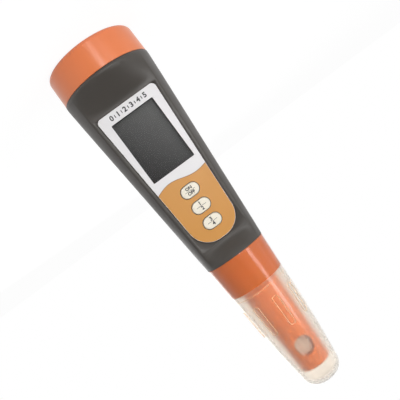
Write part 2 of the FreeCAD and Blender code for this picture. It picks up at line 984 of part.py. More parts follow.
def make_probe():
    """Orange probe: keyed spigot, tapered stub for the clear cap and a long guarded nose."""
    stub_end = seam_z + stub_length
    nose_z = stub_end + stub_step_height
    end_z = probe_end_z
    form = turned(
        (0, seam_z, 0),
        (clear_bore(seam_z) - clear_fit, seam_z, 0),
        (clear_bore(stub_end) - clear_fit, stub_end, stub_edge_round),
        (probe_root_radius, nose_z, stub_edge_round),
        (probe_end_radius, end_z, probe_end_round),
        (0, end_z, 0),
    )
    form = form.fuse(spigot_form(0, seam_z - spigot_length, seam_z + margin))
    form = form.cut(rod(0, 0, wire_bore_radius, seam_z - spigot_length - margin, core_top + margin))
    form = form.cut(rod(0, 0, core_radius, core_top, end_z + margin))
    form = form.cut(face_seal_groove())
    corners = rectangle(
        guard_window_width,
        guard_window_z,
        guard_window_z + guard_window_length,
        guard_window_width / 2 * (1 - tiny),
    )
    window = Part.Face(rounded_outline(corners)).extrude(y_axis * 2 * probe_root_radius)
    window.translate(-y_axis * probe_root_radius)
    return form.cut(window)


def face_seal_groove():
    """Square groove for the face seal, open to the end of the housing."""
    inner = face_seal_radius - face_seal_thickness / 2
    outer = inner + face_seal_thickness
    low = seam_z - margin
    high = seam_z + face_seal_thickness
    return turned((inner, low, 0), (outer, low, 0), (outer, high, 0), (inner, high, 0))


def pin_places():
    """Offsets of the two electrodes and the temperature sensor."""
    return {"electrode_left": -pin_offset, "temperature_sensor": 0, "electrode_right": pin_offset}


def make_pin(x):
    """Round metal pin along the probe."""
    tip = blade_end_z + pin_tip_gap
    pin = turned(
        (0, core_top - pin_tail, 0),
        (pin_radius, core_top - pin_tail, 0),
        (pin_radius, tip, pin_tip_round),
        (0, tip, 0),
    )
    pin.translate(x_axis * x)
    return pin


def without_pins(shape):
    """The shape with a bore for each pin."""
    for x in pin_places().values():
        shape = shape.cut(rod(x, 0, pin_radius, core_top - margin, probe_end_z))
    return shape


def make_blade():
    """White blade that carries the pins between the guard windows."""
    low = guard_window_z - blade_seat
    return without_pins(block(blade_width, blade_thickness, low, blade_end_z))


def make_core():
    """Round insulating core in the probe, with a seat for the blade."""
    core = rod(0, 0, core_radius, core_top, guard_window_z)
    low = guard_window_z - blade_seat
    seat = block(blade_width, blade_thickness, low, guard_window_z + margin)
    return without_pins(core.cut(seat))


def make_clear_cap():
    """Clear push-on cap with a tapered mouth, an inner step and a blunt tip."""
    base = clear_base_z
    bend_z = base + clear_bend
    shoulder_z = base + clear_shoulder
    step_z = base + clear_step
    inner_step = step_z + clear_step_height
    inner_taper = (clear_mouth_radius - clear_bend_radius) / clear_bend
    outer_at_step = clear_mouth_radius - (inner_step - base) * inner_taper
    return turned(
        (clear_mouth_radius - clear_mouth_wall, base, 0),
        (clear_mouth_radius, base, clear_lip_round),
        (clear_bend_radius, bend_z, clear_bend_round),
        (clear_shoulder_radius, shoulder_z, clear_shoulder_round),
        (clear_tip_radius, tip_z, clear_tip_round),
        (0, tip_z, 0),
        (0, tip_z - clear_wall, 0),
        (clear_tip_radius - clear_wall, tip_z - clear_wall, clear_tip_round - clear_wall),
        (clear_shoulder_radius - clear_wall, shoulder_z, clear_shoulder_round),
        (clear_bend_radius - clear_wall, bend_z, clear_bend_round),
        (outer_at_step - clear_wall, inner_step, 0),
        (clear_bore(step_z), step_z, 0),
    )


pieces["housing"] = make_housing()
pieces["label"] = make_label()
pieces["display_window"] = plate(window_outline(lens_margin, lens_corner), label_recess, lens_back)
pieces["display_gasket"] = make_gasket()
pieces["display_glass"] = make_lcd()
pieces["display_frame"] = make_lcd_frame()
pieces["zebra_strips"] = make_zebra_strips()
pieces["circuit_board"] = make_board()
pieces["key_switches"] = make_switches()
for name, height in zip(key_names, key_heights()):
    pieces["key_" + name] = make_key(height)
    pieces["plunger_" + name] = make_plunger(height)
pieces["processor"] = make_chip()
pieces["clock_crystal"] = make_crystal()
pieces["chip_components"] = make_passives()
pieces["sensor_socket"] = make_socket()
pieces["sensor_plug"] = make_plug()
pieces["sensor_wires"] = make_sensor_wires()
pieces["battery_lead_left"] = make_battery_lead(-1)
pieces["battery_lead_right"] = make_battery_lead(1)
pieces["battery_holder"] = make_holder()
pieces["holder_screws"] = make_holder_screws()
pieces["cell_spring_left"] = make_cell_spring(-1)
pieces["cell_spring_right"] = make_cell_spring(1)
for side, side_name in ((-1, "left"), (1, "right")):
    for level in range(cells_per_stack):
        pieces[f"button_cell_{side_name}_{level + 1}"] = make_cell(side, level)
seal_radius, seal_z = seal_centre()
pieces["neck_seal"] = Part.makeTorus(seal_radius, seal_thickness / 2, FreeCAD.Vector(0, 0, seal_z))
pieces["battery_cap"] = make_battery_cap()
pieces["swivel_washer"] = make_swivel_washer()
pieces["contact_carrier"] = make_carrier()
pieces["contact_strip"] = make_contact_strip()
pieces["probe"] = make_probe()
pieces["probe_seal"] = Part.makeTorus(
    face_seal_radius,
    face_seal_thickness / 2,
    FreeCAD.Vector(0, 0, seam_z + face_seal_thickness / 2),
)
pieces["sensor_core"] = make_core()
pieces["sensor_blade"] = make_blade()
for name, offset in pin_places().items():
    pieces[name] = make_pin(offset)
pieces["clear_cap"] = make_clear_cap()

os.makedirs("parts", exist_ok=True)
for node, shape in pieces.items():
    shape.exportStep(os.path.join("parts", node + ".step"))
    box = shape.BoundBox
    print(f"{node}: {len(shape.Solids)} solids, {shape.Volume:.1f} mm3, valid {shape.isValid()}")
    print(f"   z {box.ZMin:.2f} to {box.ZMax:.2f}, y {box.YMin:.2f} to {box.YMax:.2f}")
print(f"{len(pieces)} nodes")
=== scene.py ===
# %% [markdown]
# # A pen type water quality tester
#
# The tester is a tapered grey housing with an orange screw cap at its wide end, a printed label with a
# display and three keys on its flat front, and an orange probe under a clear pull-off cap. The packed
# model gives every piece at its real size. This lesson gives each one its surface, adds the print, the
# threads and the small moulded detail, and sets the camera and the lights as in the photograph.

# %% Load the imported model
import math

import bmesh
import bpy
from mathutils import Matrix, Quaternion, Vector


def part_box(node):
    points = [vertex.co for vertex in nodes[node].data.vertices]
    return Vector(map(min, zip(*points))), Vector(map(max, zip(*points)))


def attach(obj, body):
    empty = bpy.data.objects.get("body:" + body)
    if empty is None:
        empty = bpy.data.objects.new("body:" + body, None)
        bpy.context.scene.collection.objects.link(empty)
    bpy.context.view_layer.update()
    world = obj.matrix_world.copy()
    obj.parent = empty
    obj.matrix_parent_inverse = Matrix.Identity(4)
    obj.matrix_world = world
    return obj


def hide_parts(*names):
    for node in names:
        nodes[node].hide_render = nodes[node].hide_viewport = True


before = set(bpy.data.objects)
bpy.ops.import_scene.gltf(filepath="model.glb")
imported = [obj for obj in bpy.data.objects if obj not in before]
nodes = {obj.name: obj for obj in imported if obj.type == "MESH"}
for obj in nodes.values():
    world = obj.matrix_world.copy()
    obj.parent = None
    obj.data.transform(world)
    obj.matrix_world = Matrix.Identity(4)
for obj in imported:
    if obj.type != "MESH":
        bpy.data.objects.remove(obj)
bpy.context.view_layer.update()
scene = bpy.context.scene
MM = 0.001

# %% [markdown]
# ## Where things are
#
# The battery cap's flat end is at z = 0 and the display faces -Y. The front flat leans back by about
# three degrees, so print and keys on it are drawn flat, in millimetres across, along and behind it, and
# one matrix brings them into place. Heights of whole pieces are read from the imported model.

# %% Measure the main pieces
def span(node):
    """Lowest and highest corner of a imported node, in millimetres."""
    low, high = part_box(node)
    return [value / MM for value in low], [value / MM for value in high]


CAP_TOP = span("battery_cap")[1][2]
SEAM_Z = span("clear_cap")[0][2]
TIP_Z = span("clear_cap")[1][2]
SEAM_GAP = 0.1
HOUSING_BASE = CAP_TOP + SEAM_GAP
FLAT_TOP_Z = HOUSING_BASE + 11.6
FLAT_TOP_FRONT = 11.4
FLAT_END_FRONT = 7.9
FLAT_LENGTH = 67.4
FLAT_SLOPE = (FLAT_TOP_FRONT - FLAT_END_FRONT) / FLAT_LENGTH
FLAT_LEAN = math.atan(FLAT_SLOPE)
FLAT_AT_ORIGIN = FLAT_TOP_FRONT + FLAT_TOP_Z * FLAT_SLOPE
UPRIGHT = Matrix.Identity(4)
ON_FLAT = Matrix.Translation((0, -FLAT_AT_ORIGIN * MM, 0)) @ Matrix.Rotation(-FLAT_LEAN, 4, "X")
print("cap rim at", round(CAP_TOP, 2), "seam at", round(SEAM_Z, 2), "tip at", round(TIP_Z, 2), "mm")

# %% [markdown]
# ## Making meshes
#
# Most shells of the tester are turned shapes, so one helper spins an outline with rounded corners about
# the axis. Films, print and keys are outlines that are stacked at several depths and joined, which also
# gives them their small edge radii. A third helper cuts one mesh out of another.

# %% Outlines with rounded corners
def corner_points(before, corner, after, radius, steps):
    """Points along the arc that rounds one corner of an outline."""
    corner = Vector(corner)
    back = (Vector(before) - corner).normalized()
    ahead = (Vector(after) - corner).normalized()
    half = back.angle(ahead) / 2
    centre = corner + (back + ahead).normalized() * radius / math.sin(half)
    start = corner + back * radius / math.tan(half) - centre
    end = corner + ahead * radius / math.tan(half) - centre
    sweep = start.angle(end)
    points = []
    for step in range(steps + 1):
        share = step / steps
        spoke = start * math.sin((1 - share) * sweep) + end * math.sin(share * sweep)
        points.append(tuple(centre + spoke / math.sin(sweep)))
    return points


def rounded(corners, steps=8):
    """Closed outline from corners of (x, y, rounding radius)."""
    points = []
    for index, (x, y, radius) in enumerate(corners):
        if radius > 0:
            before = corners[index - 1][:2]
            after = corners[(index + 1) % len(corners)][:2]
            points += corner_points(before, (x, y), after, radius, steps)
        else:
            points.append((x, y))
    return points


def rectangle(left, right, low, high, *third):
    """Corners of a rectangle, each with a third value if one is given."""
    return [(x, z, *third) for x, z in ((left, low), (right, low), (right, high), (left, high))]


NEARLY = 0.999  # keeps two roundings that share a side from using the same point


def oval(width, height, middle, steps=10):
    """Oval or round outline that is centred across the flat, with half-round ends."""
    radius = min(width, height) / 2 * NEARLY
    low, high = middle - height / 2, middle + height / 2
    return rounded(rectangle(-width / 2, width / 2, low, high, radius), steps)


# %% Meshes from outlines
MERGE_DISTANCE = MM / 2000
ON_AXIS = MM / 1000


def link(name, mesh):
    """Puts a mesh into the scene as an object at the origin."""
    piece = bpy.data.objects.new(name, mesh)
    scene.collection.objects.link(piece)
    return piece


def to_piece(name, work):
    """Turns finished mesh work into an object, with its faces outwards."""
    bmesh.ops.recalc_face_normals(work, faces=work.faces[:])
    mesh = bpy.data.meshes.new(name)
    work.to_mesh(mesh)
    work.free()
    return link(name, mesh)


def smooth(piece, degrees=30):
    """Shades a mesh smooth, but keeps edges sharper than the angle crisp."""
    mesh = piece.data
    mesh.polygons.foreach_set("use_smooth", [True] * len(mesh.polygons))
    mesh.set_sharp_from_angle(angle=math.radians(degrees))
    return piece


def lathe(name, corners, steps=8, around=160, place=(0, 0)):
    """Spins a closed outline of (radius, z, rounding) corners in millimetres about an upright axis."""
    work = bmesh.new()
    ring = [work.verts.new((radius * MM, 0, z * MM)) for radius, z in rounded(corners, steps)]
    edges = [
        work.edges.new((here, after))
        for here, after in zip(ring, ring[1:] + ring[:1])
        if max(here.co.x, after.co.x) > ON_AXIS
    ]
    turn = 2 * math.pi
    bmesh.ops.spin(work, geom=ring + edges, cent=(0, 0, 0), axis=(0, 0, 1), angle=turn, steps=around)
    bmesh.ops.remove_doubles(work, verts=work.verts[:], dist=MERGE_DISTANCE)
    bmesh.ops.translate(work, verts=work.verts[:], vec=(place[0] * MM, place[1] * MM, 0))
    return smooth(to_piece(name, work))


def stack(name, layers, matrix=ON_FLAT):
    """Closed shell through outlines of (x, z), each at its own depth, in millimetres."""
    work = bmesh.new()
    rings = [
        [work.verts.new((x * MM, depth * MM, z * MM)) for x, z in outline] for outline, depth in layers
    ]
    for near, far in zip(rings, rings[1:]):
        for here in range(len(near)):
            after = (here + 1) % len(near)
            work.faces.new((near[after], near[here], far[here], far[after]))
    work.faces.new(rings[0])
    work.faces.new(list(reversed(rings[-1])))
    work.transform(matrix)
    return smooth(to_piece(name, work), 40)


def film(name, outline, near, far, matrix=ON_FLAT):
    """Thin plate with one outline between two depths."""
    return stack(name, [(outline, near), (outline, far)], matrix)


# %% Copies, cuts and plain meshes
def bake(piece):
    """Turns a piece and its modifiers into a plain mesh."""
    graph = bpy.context.evaluated_depsgraph_get()
    mesh = bpy.data.meshes.new_from_object(piece.evaluated_get(graph))
    piece.modifiers.clear()
    piece.data = mesh
    return piece


def carve(piece, *cutters, degrees=30):
    """Cuts other meshes out of a piece and removes them."""
    for cutter in cutters:
        cut = piece.modifiers.new("cut", "BOOLEAN")
        cut.operation = "DIFFERENCE"
        cut.solver = "EXACT"
        cut.object = cutter
        bpy.context.view_layer.update()
        bake(piece)
        bpy.data.objects.remove(cutter)
    return smooth(piece, degrees)


def copy_node(node, degrees=30):
    """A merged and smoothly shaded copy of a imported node."""
    mesh = nodes[node].data.copy()
    work = bmesh.new()
    work.from_mesh(mesh)
    bmesh.ops.remove_doubles(work, verts=work.verts[:], dist=MERGE_DISTANCE)
    work.to_mesh(mesh)
    work.free()
    return smooth(link(node + "_surface", mesh), degrees)


def dress(piece, material, body, slot, *replaced):
    """Gives a piece its material, the body it rides on and the nodes it stands for."""
    piece.data.materials.clear()
    piece.data.materials.append(material)
    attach(piece, body)
    if replaced:
        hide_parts(*replaced)
    return piece


# %% [markdown]
# ## Effects that several surfaces share
#
# Moulded plastic is never quite even: its grain catches the light, handling leaves faint smears in the
# gloss, and its colour drifts a little. Each effect is a node group that reads object coordinates, so
# one group serves a big shell and a small key, with its own values in each material.

# %% Node helpers
SOCKETS = {float: "Float", int: "Int", tuple: "Color", type(None): "Material"}


def add(tree, kind, props=None, inputs=None):
    """Adds a node, sets its properties, and then sets or links its inputs by name or index."""
    node = tree.nodes.new(kind)
    for key, value in (props or {}).items():
        setattr(node, key, value)
    for key, value in (inputs or {}).items():
        if isinstance(value, bpy.types.NodeSocket):
            tree.links.new(value, node.inputs[key])
        else:
            node.inputs[key].default_value = value
    return node


def new_group(name, kind, inputs, outputs):
    """A node group with named inputs and their usual values, its given sockets and its outputs."""
    group = bpy.data.node_groups.new(name, kind + "NodeTree")
    for label, value in inputs.items():
        sort = "NodeSocket" + SOCKETS[type(value)]
        socket = group.interface.new_socket(label, in_out="INPUT", socket_type=sort)
        if value is not None:
            socket.default_value = value
    for label, sort in outputs.items():
        group.interface.new_socket(label, in_out="OUTPUT", socket_type="NodeSocket" + sort)
    given = group.nodes.new("NodeGroupInput")
    out = group.nodes.new("NodeGroupOutput")
    return group, given.outputs, out.inputs


def maths(tree, operation, *values):
    """A math node on sockets or numbers, as its output socket."""
    return add(tree, "ShaderNodeMath", {"operation": operation}, dict(enumerate(values))).outputs[0]


def vector(tree, **parts):
    """A vector from X, Y and Z, each a socket or a number, as an output socket."""
    return add(tree, "ShaderNodeCombineXYZ", inputs=parts).outputs[0]


def noise(tree, scale, detail, roughness=0.5, distortion=0.0):
    """Noise on object coordinates; the scale is a number or a socket."""
    place = tree.nodes.new("ShaderNodeTexCoord").outputs["Object"]
    pattern = {"Scale": scale, "Detail": detail, "Roughness": roughness, "Distortion": distortion}
    return add(tree, "ShaderNodeTexNoise", inputs={"Vector": place, **pattern}).outputs["Fac"]


# %% The grain and drift groups
BUMP_HEIGHT = 0.02 * MM
SMEAR_SCALE = 55.0
DRIFT_SCALE = 60.0


def grain_group():
    """Fine moulded grain as a normal, and a roughness that varies a little with handling."""
    inputs = {"Grain Size mm": 0.3, "Grain Depth": 0.2, "Roughness": 0.4, "Smear": 0.1}
    outputs = {"Normal": "Vector", "Roughness": "Float"}
    group, given, out = new_group("moulded_grain", "Shader", inputs, outputs)
    scale = maths(group, "DIVIDE", 1 / MM, given["Grain Size mm"])
    height = {"Height": noise(group, scale, 2.0, 0.6), "Strength": given["Grain Depth"]}
    bump = add(group, "ShaderNodeBump", inputs={"Distance": BUMP_HEIGHT, **height})
    group.links.new(bump.outputs["Normal"], out["Normal"])
    handled = {"Value": noise(group, SMEAR_SCALE, 3.0, 0.5, 1.5), "From Min": 0.35, "From Max": 0.7}
    smear = add(group, "ShaderNodeMapRange", inputs=handled)
    rough = maths(group, "MULTIPLY_ADD", smear.outputs["Result"], given["Smear"], given["Roughness"])
    group.links.new(rough, out["Roughness"])
    return group


def drift_group():
    """Slow drift of a colour's brightness, as in a moulded shell."""
    inputs = {"Colour": (0.5, 0.5, 0.5, 1), "Drift": 0.05}
    group, given, out = new_group("colour_drift", "Shader", inputs, {"Colour": "Color"})
    swing = maths(group, "SUBTRACT", noise(group, DRIFT_SCALE, 4.0, 0.55), 0.5)
    brightness = maths(group, "MULTIPLY_ADD", swing, given["Drift"], 1.0)
    tint = add(group, "ShaderNodeHueSaturation", inputs={"Color": given["Colour"], "Value": brightness})
    group.links.new(tint.outputs["Color"], out["Colour"])
    return group


GRAIN = grain_group()
DRIFT = drift_group()
print("shader groups", GRAIN.name, DRIFT.name)

# %% [markdown]
# ## The finishes
#
# The real tester is moulded in satin and glossy plastics, with metal and rubber inside. Photographs
# wrapped round the pieces could give these surfaces too, but nodes stay sharp close up and need no
# files. A plastic is one Principled shader with the two groups in front of it. What differs is colour,
# gloss, how coarse and deep the grain is, and how much the handling shows. Colours are written as they
# look in even light, from 0 to 255. The clear cap bends light, but lets the lamps' light straight
# through, because light that is bent on its way to a lamp gives a speckled picture. The lens in front
# of the display is so thin that a nearly see-through film does for it.

# %% Plastic, metal and glass materials
def srgb(red, green, blue):
    """A colour written as it looks on screen, 0 to 255, as linear light."""
    channels = [value / 255 for value in (red, green, blue)]
    linear = [c / 12.92 if c <= 0.04045 else ((c + 0.055) / 1.055) ** 2.4 for c in channels]
    return (*linear, 1.0)


def plastic(name, colour, roughness, grain=(0.3, 0.2), smear=0.06, drift=0.1, **sockets):
    """Plastic with handling marks, and with grain and a slight colour drift unless they are None."""
    material = bpy.data.materials.new(name)
    material.use_nodes = True
    tree = material.node_tree
    skin = tree.nodes["Principled BSDF"].inputs
    skin["Base Color"].default_value = srgb(*colour)
    for label, value in sockets.items():
        skin[label.replace("_", " ")].default_value = value
    marks = {"Roughness": roughness, "Smear": smear}
    if grain:
        marks.update({"Grain Size mm": grain[0], "Grain Depth": grain[1]})
    surface = add(tree, "ShaderNodeGroup", {"node_tree": GRAIN}, marks)
    tree.links.new(surface.outputs["Roughness"], skin["Roughness"])
    if grain:
        tree.links.new(surface.outputs["Normal"], skin["Normal"])
    if drift:
        colours = {"Colour": srgb(*colour), "Drift": drift}
        shade = add(tree, "ShaderNodeGroup", {"node_tree": DRIFT}, colours)
        tree.links.new(shade.outputs["Colour"], skin["Base Color"])
    return material


def metal(name, colour, roughness, grain=(0.15, 0.15)):
    """Plated or drawn metal with fine grain."""
    return plastic(name, colour, roughness, grain, 0.1, 0.06, Metallic=1.0)


CLEAR_IOR = 1.49


def clear(name, colour, roughness, transmission=1.0):
    """Clear moulded plastic that lets the lamps' light through to what is behind it."""
    glass = {"Transmission_Weight": transmission, "IOR": CLEAR_IOR}
    material = plastic(name, colour, roughness, None, 0.04, None, **glass)
    tree = material.node_tree
    path = tree.nodes.new("ShaderNodeLightPath")
    pass_on = add(tree, "ShaderNodeBsdfTransparent", inputs={"Color": srgb(*colour)})
    shaders = {1: tree.nodes["Principled BSDF"].outputs[0], 2: pass_on.outputs[0]}
    choose = add(tree, "ShaderNodeMixShader", inputs={"Fac": path.outputs["Is Shadow Ray"], **shaders})
    tree.links.new(choose.outputs[0], tree.nodes["Material Output"].inputs["Surface"])
    return material


TURNED = {"Anisotropic": 0.85, "Anisotropic_Rotation": 0.25, "Specular_IOR_Level": 1.0}
MOULDED = {"Specular_IOR_Level": 0.45}
FILM = (0.4, (0.4, 0.05), 0.05)
WIRE = (0.35, (0.4, 0.1), 0.05, 0.05)
HOUSING_GREY = plastic("housing_grey", (62, 57, 52), 0.42, (0.22, 0.5), 0.10, 0.12)
CAP_ORANGE = plastic("cap_orange", (227, 118, 54), 0.38, (0.5, 0.05), 0.03, 0.08, **TURNED)
PROBE_ORANGE = plastic("probe_orange", (228, 120, 46), 0.34, (0.5, 0.05), 0.03, 0.08, **MOULDED)
LABEL_WHITE = plastic("label_white", (226, 224, 225), *FILM, 0.03)
LABEL_AMBER = plastic("label_amber", (204, 142, 62), *FILM, 0.05)
WAVE_BROWN = plastic("wave_brown", (150, 104, 66), *FILM, 0.05)
# Dark ink for the real print, also used for the painted shade rings round the keys.
INK_AND_SHADE_DARK = plastic("ink_dark", (48, 46, 47), 0.45, (0.3, 0.1), 0.05, 0.05)
KEY_CREAM = plastic("key_cream", (238, 231, 214), 0.42, (0.25, 0.12), 0.06, 0.04)
DISPLAY_DARK = plastic("display_dark", (60, 61, 60), 0.3, None, 0.05, None, Specular_IOR_Level=0.05)
MOULDED_BLACK = plastic("moulded_black", (34, 34, 35), 0.5, (0.25, 0.4), 0.1, 0.1)
RUBBER_BLACK = plastic("rubber_black", (28, 28, 29), 0.65, (0.15, 0.5), 0.1, 0.1)
FOAM_BLACK = plastic("foam_black", (38, 38, 39), 0.85, (0.6, 1.0), 0.05, 0.3)
NYLON_WHITE = plastic("nylon_white", (226, 221, 205), 0.42, (0.3, 0.2), 0.05, 0.05)
CORE_WHITE = plastic("core_white", (236, 230, 222), 0.35, (0.3, 0.15), 0.05, 0.05)
WIRE_RED = plastic("wire_red", (170, 32, 26), *WIRE)
WIRE_BLACK = plastic("wire_black", (30, 30, 30), *WIRE)
WIRE_WHITE = plastic("wire_white", (222, 222, 218), *WIRE)
BOARD_GREEN = plastic("board_green", (22, 94, 54), 0.3, (0.4, 0.1), 0.05, 0.25)
CELL_STEEL = metal("cell_steel", (206, 205, 202), 0.26)
SPRING_METAL = metal("spring_metal", (212, 204, 186), 0.3)
SCREW_STEEL = metal("screw_steel", (176, 176, 178), 0.35)
PIN_METAL = metal("pin_metal", (190, 190, 192), 0.28)
SOLDER_METAL = metal("solder_metal", (196, 196, 194), 0.35)
CLEAR_SHELL = clear("clear_shell", (252, 247, 239), 0.12)
CLEAR_INSIDE = clear("clear_inside", (252, 246, 238), 0.34, 0.92)
# Less clear and cream, so that thin beads show as light lines: their light colour is a painted
# highlight.
CLEAR_EDGE_HIGHLIGHT = clear("clear_edge", (255, 232, 200), 0.25, 0.65)
LENS_CLEAR = plastic("lens_clear", (60, 61, 61), 0.1, None, 0.05, None, Alpha=0.06)
print("materials", len(bpy.data.materials))


# %% Painted shade and light on the switched-off display
# The corner of deepest painted shade across and along the display, in millimetres, and the share of
# painted light gained per millimetre.
DISPLAY_SHADE_CORNER = (9.5, FLAT_TOP_Z + 33.5)
DISPLAY_RISE = (0.45 / 19, 0.55 / 27)
DISPLAY_BEND = 1.5
DISPLAY_PAINTED_SHADES = {"A": srgb(66, 65, 65), "B": srgb(116, 116, 115)}


def shade_display(material):
    """Paints shade and light on the display: darker in its low corner and lighter away from it."""
    tree = material.node_tree
    place = tree.nodes.new("ShaderNodeTexCoord").outputs["Object"]
    parts = add(tree, "ShaderNodeSeparateXYZ", inputs={0: place}).outputs
    shares = []
    for axis, corner, rise in zip("XZ", DISPLAY_SHADE_CORNER, DISPLAY_RISE):
        away = maths(tree, "SUBTRACT", corner * MM, parts[axis])
        shares.append(maths(tree, "MULTIPLY", away, rise / MM))
    level = maths(tree, "MAXIMUM", maths(tree, "ADD", *shares), 0.0)
    bent = maths(tree, "POWER", level, DISPLAY_BEND)
    ramp = add(tree, "ShaderNodeMix", {"data_type": "RGBA"}, {"Factor": bent, **DISPLAY_PAINTED_SHADES})
    tree.links.new(ramp.outputs["Result"], tree.nodes["Principled BSDF"].inputs["Base Color"])


shade_display(DISPLAY_DARK)
print("display shades from", DISPLAY_SHADE_CORNER)

# %% [markdown]
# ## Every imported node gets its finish
#
# Inner pieces have their real shape already, so they only need a material. The pieces that show, and
# those that come into view when a cap is off, are made again further on with finer surfaces.

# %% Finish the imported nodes
FINISHES = {
    MOULDED_BLACK: "display_frame key_switches processor chip_components battery_holder "
    "contact_carrier plunger_power plunger_hold plunger_mode",
    FOAM_BLACK: "display_gasket",
    RUBBER_BLACK: "zebra_strips neck_seal probe_seal",
    DISPLAY_DARK: "display_glass",
    LENS_CLEAR: "display_window",
    BOARD_GREEN: "circuit_board",
    SOLDER_METAL: "clock_crystal",
    NYLON_WHITE: "sensor_socket sensor_plug",
    WIRE_WHITE: "sensor_wires",
    WIRE_RED: "battery_lead_left",
    WIRE_BLACK: "battery_lead_right",
    SCREW_STEEL: "holder_screws",
    SPRING_METAL: "swivel_washer contact_strip cell_spring_left cell_spring_right",
    CELL_STEEL: "button_cell_left_1 button_cell_left_2 button_cell_right_1 button_cell_right_2",
    CORE_WHITE: "sensor_core sensor_blade",
    PIN_METAL: "electrode_left electrode_right temperature_sensor",
    HOUSING_GREY: "housing",
    CAP_ORANGE: "battery_cap",
    PROBE_ORANGE: "probe",
    CLEAR_SHELL: "clear_cap",
    LABEL_WHITE: "label",
    KEY_CREAM: "key_power key_hold key_mode",
}
for material, names in FINISHES.items():
    for name in names.split():
        nodes[name].data.materials.clear()
        nodes[name].data.materials.append(material)
print("finished", sum(len(names.split()) for names in FINISHES.values()), "of", len(nodes), "nodes")

# %% [markdown]
# ## Housing
#
# The real housing is one satin moulding that goes from a round head through a long flat to a round end.
# It could be built again from cross-sections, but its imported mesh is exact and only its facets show. A
# copy with its points merged and its shading smoothed keeps the size and loses the facets, and edges
# sharper than 30 degrees stay crisp.

# %% Housing surface
housing_surface = copy_node("housing")
dress(housing_surface, HOUSING_GREY, "housing", "housing_grey", "housing")
print("housing faces", len(housing_surface.data.polygons))

# %% [markdown]
# ## Battery cap
#
# The cap is a glossy turned moulding with a coin slot in its flat end. A cylinder with bevelled edges
# would come near it, but a spun outline carries every step and rounding at once. It is the outline of
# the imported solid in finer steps, so the cap's long highlight runs without a break.

# %% Battery cap surface
CAP_RIM_RADIUS = 19.7
CAP_END_RADIUS = 19.5
CAP_END_ROUND = 2.2
CAP_RIM_ROUND = 0.3
CAP_BORE = 17.75
CAP_BORE_ROUND = 0.9
CAP_END_WALL = 2.2
POST_RADIUS = 1.6
SPIGOT_RADIUS = 1.0
WASHER_Z, WASHER_TOP = (corner[2] for corner in span("swivel_washer"))
SLOT_LENGTH = 17.0
SLOT_WIDTH = 2.4
SLOT_DEPTH = 1.0

cap_surface = lathe(
    "battery_cap_surface",
    [
        (0, 0, 0),
        (CAP_END_RADIUS, 0, CAP_END_ROUND),
        (CAP_RIM_RADIUS, CAP_TOP, CAP_RIM_ROUND),
        (CAP_BORE, CAP_TOP, 0),
        (CAP_BORE, CAP_END_WALL, CAP_BORE_ROUND),
        (POST_RADIUS, CAP_END_WALL, 0),
        (POST_RADIUS, WASHER_Z, 0),
        (SPIGOT_RADIUS, WASHER_Z, 0),
        (SPIGOT_RADIUS, WASHER_TOP, 0),
        (0, WASHER_TOP, 0),
    ],
)
slot_outline = rectangle(-SLOT_LENGTH / 2, SLOT_LENGTH / 2, -1, SLOT_DEPTH)
slot_cutter = film("slot_cutter", slot_outline, -SLOT_WIDTH / 2, SLOT_WIDTH / 2, UPRIGHT)
carve(cap_surface, slot_cutter)
dress(cap_surface, CAP_ORANGE, "battery_cap", "cap_orange", "battery_cap")
print("battery cap faces", len(cap_surface.data.polygons))

# %% [markdown]
# ## The screw thread
#
# The neck and the cap carry a coarse screw thread with two starts. A curve with a bevel could draw each
# bead by hand, but a thread repeats along a helix, which is what geometry nodes do well. The tree below
# sweeps a round bead along one helix and turns a copy of it for each start. The neck and the cap use
# the same tree with their own radius. The beads of the cap sit half a pitch from the neck's, so the two
# mesh when the cap turns.

# %% Steps that the trees share
SHAPES = {"Geometry": "Geometry"}
HELIX_STEPS = 96
FRAME_STEP = 0.0003
CORNER_STEPS = 8


def sweep_bead(group, line, radius, sides):
    """A round bead of a given radius along a curve."""
    size = {"Resolution": sides, "Radius": radius}
    bead = add(group, "GeometryNodeCurvePrimitiveCircle", inputs=size)
    shapes = {"Curve": line, "Profile Curve": bead.outputs[0], "Fill Caps": True}
    return add(group, "GeometryNodeCurveToMesh", inputs=shapes).outputs[0]


def turned_copies(group, mesh, count, first=0.0, base=0.0):
    """Copies of a mesh that are turned evenly about the upright axis, at one height."""
    place = vector(group, Z=base)
    points = add(group, "GeometryNodePoints", inputs={"Count": count, "Position": place})
    index = group.nodes.new("GeometryNodeInputIndex").outputs[0]
    part = maths(group, "DIVIDE", index, count)
    turn = vector(group, Z=maths(group, "MULTIPLY_ADD", part, 2 * math.pi, first))
    spread = {"Points": points.outputs[0], "Instance": mesh, "Rotation": turn}
    return add(group, "GeometryNodeInstanceOnPoints", inputs=spread).outputs[0]


def end_tree(group, given, out, mesh):
    """Ends a tree in real meshes with smooth shading and one material."""
    real = add(group, "GeometryNodeRealizeInstances", inputs={0: mesh})
    shade = add(group, "GeometryNodeSetShadeSmooth", inputs={0: real.outputs[0]})
    finish = {0: shade.outputs[0], "Material": given["Material"]}
    paint = add(group, "GeometryNodeSetMaterial", inputs=finish)
    group.links.new(paint.outputs[0], out["Geometry"])


def grow(name, tree, **values):
    """A plain mesh made by a geometry node tree with the given named inputs."""
    piece = link(name, bpy.data.meshes.new(name))
    growth = piece.modifiers.new("growth", "NODES")
    growth.node_group = tree
    for socket in tree.interface.items_tree:
        key = socket.name.lower().replace(" ", "_")
        if socket.in_out == "INPUT" and key in values:
            growth[socket.identifier] = values[key]
    bpy.context.view_layer.update()
    return bake(piece)


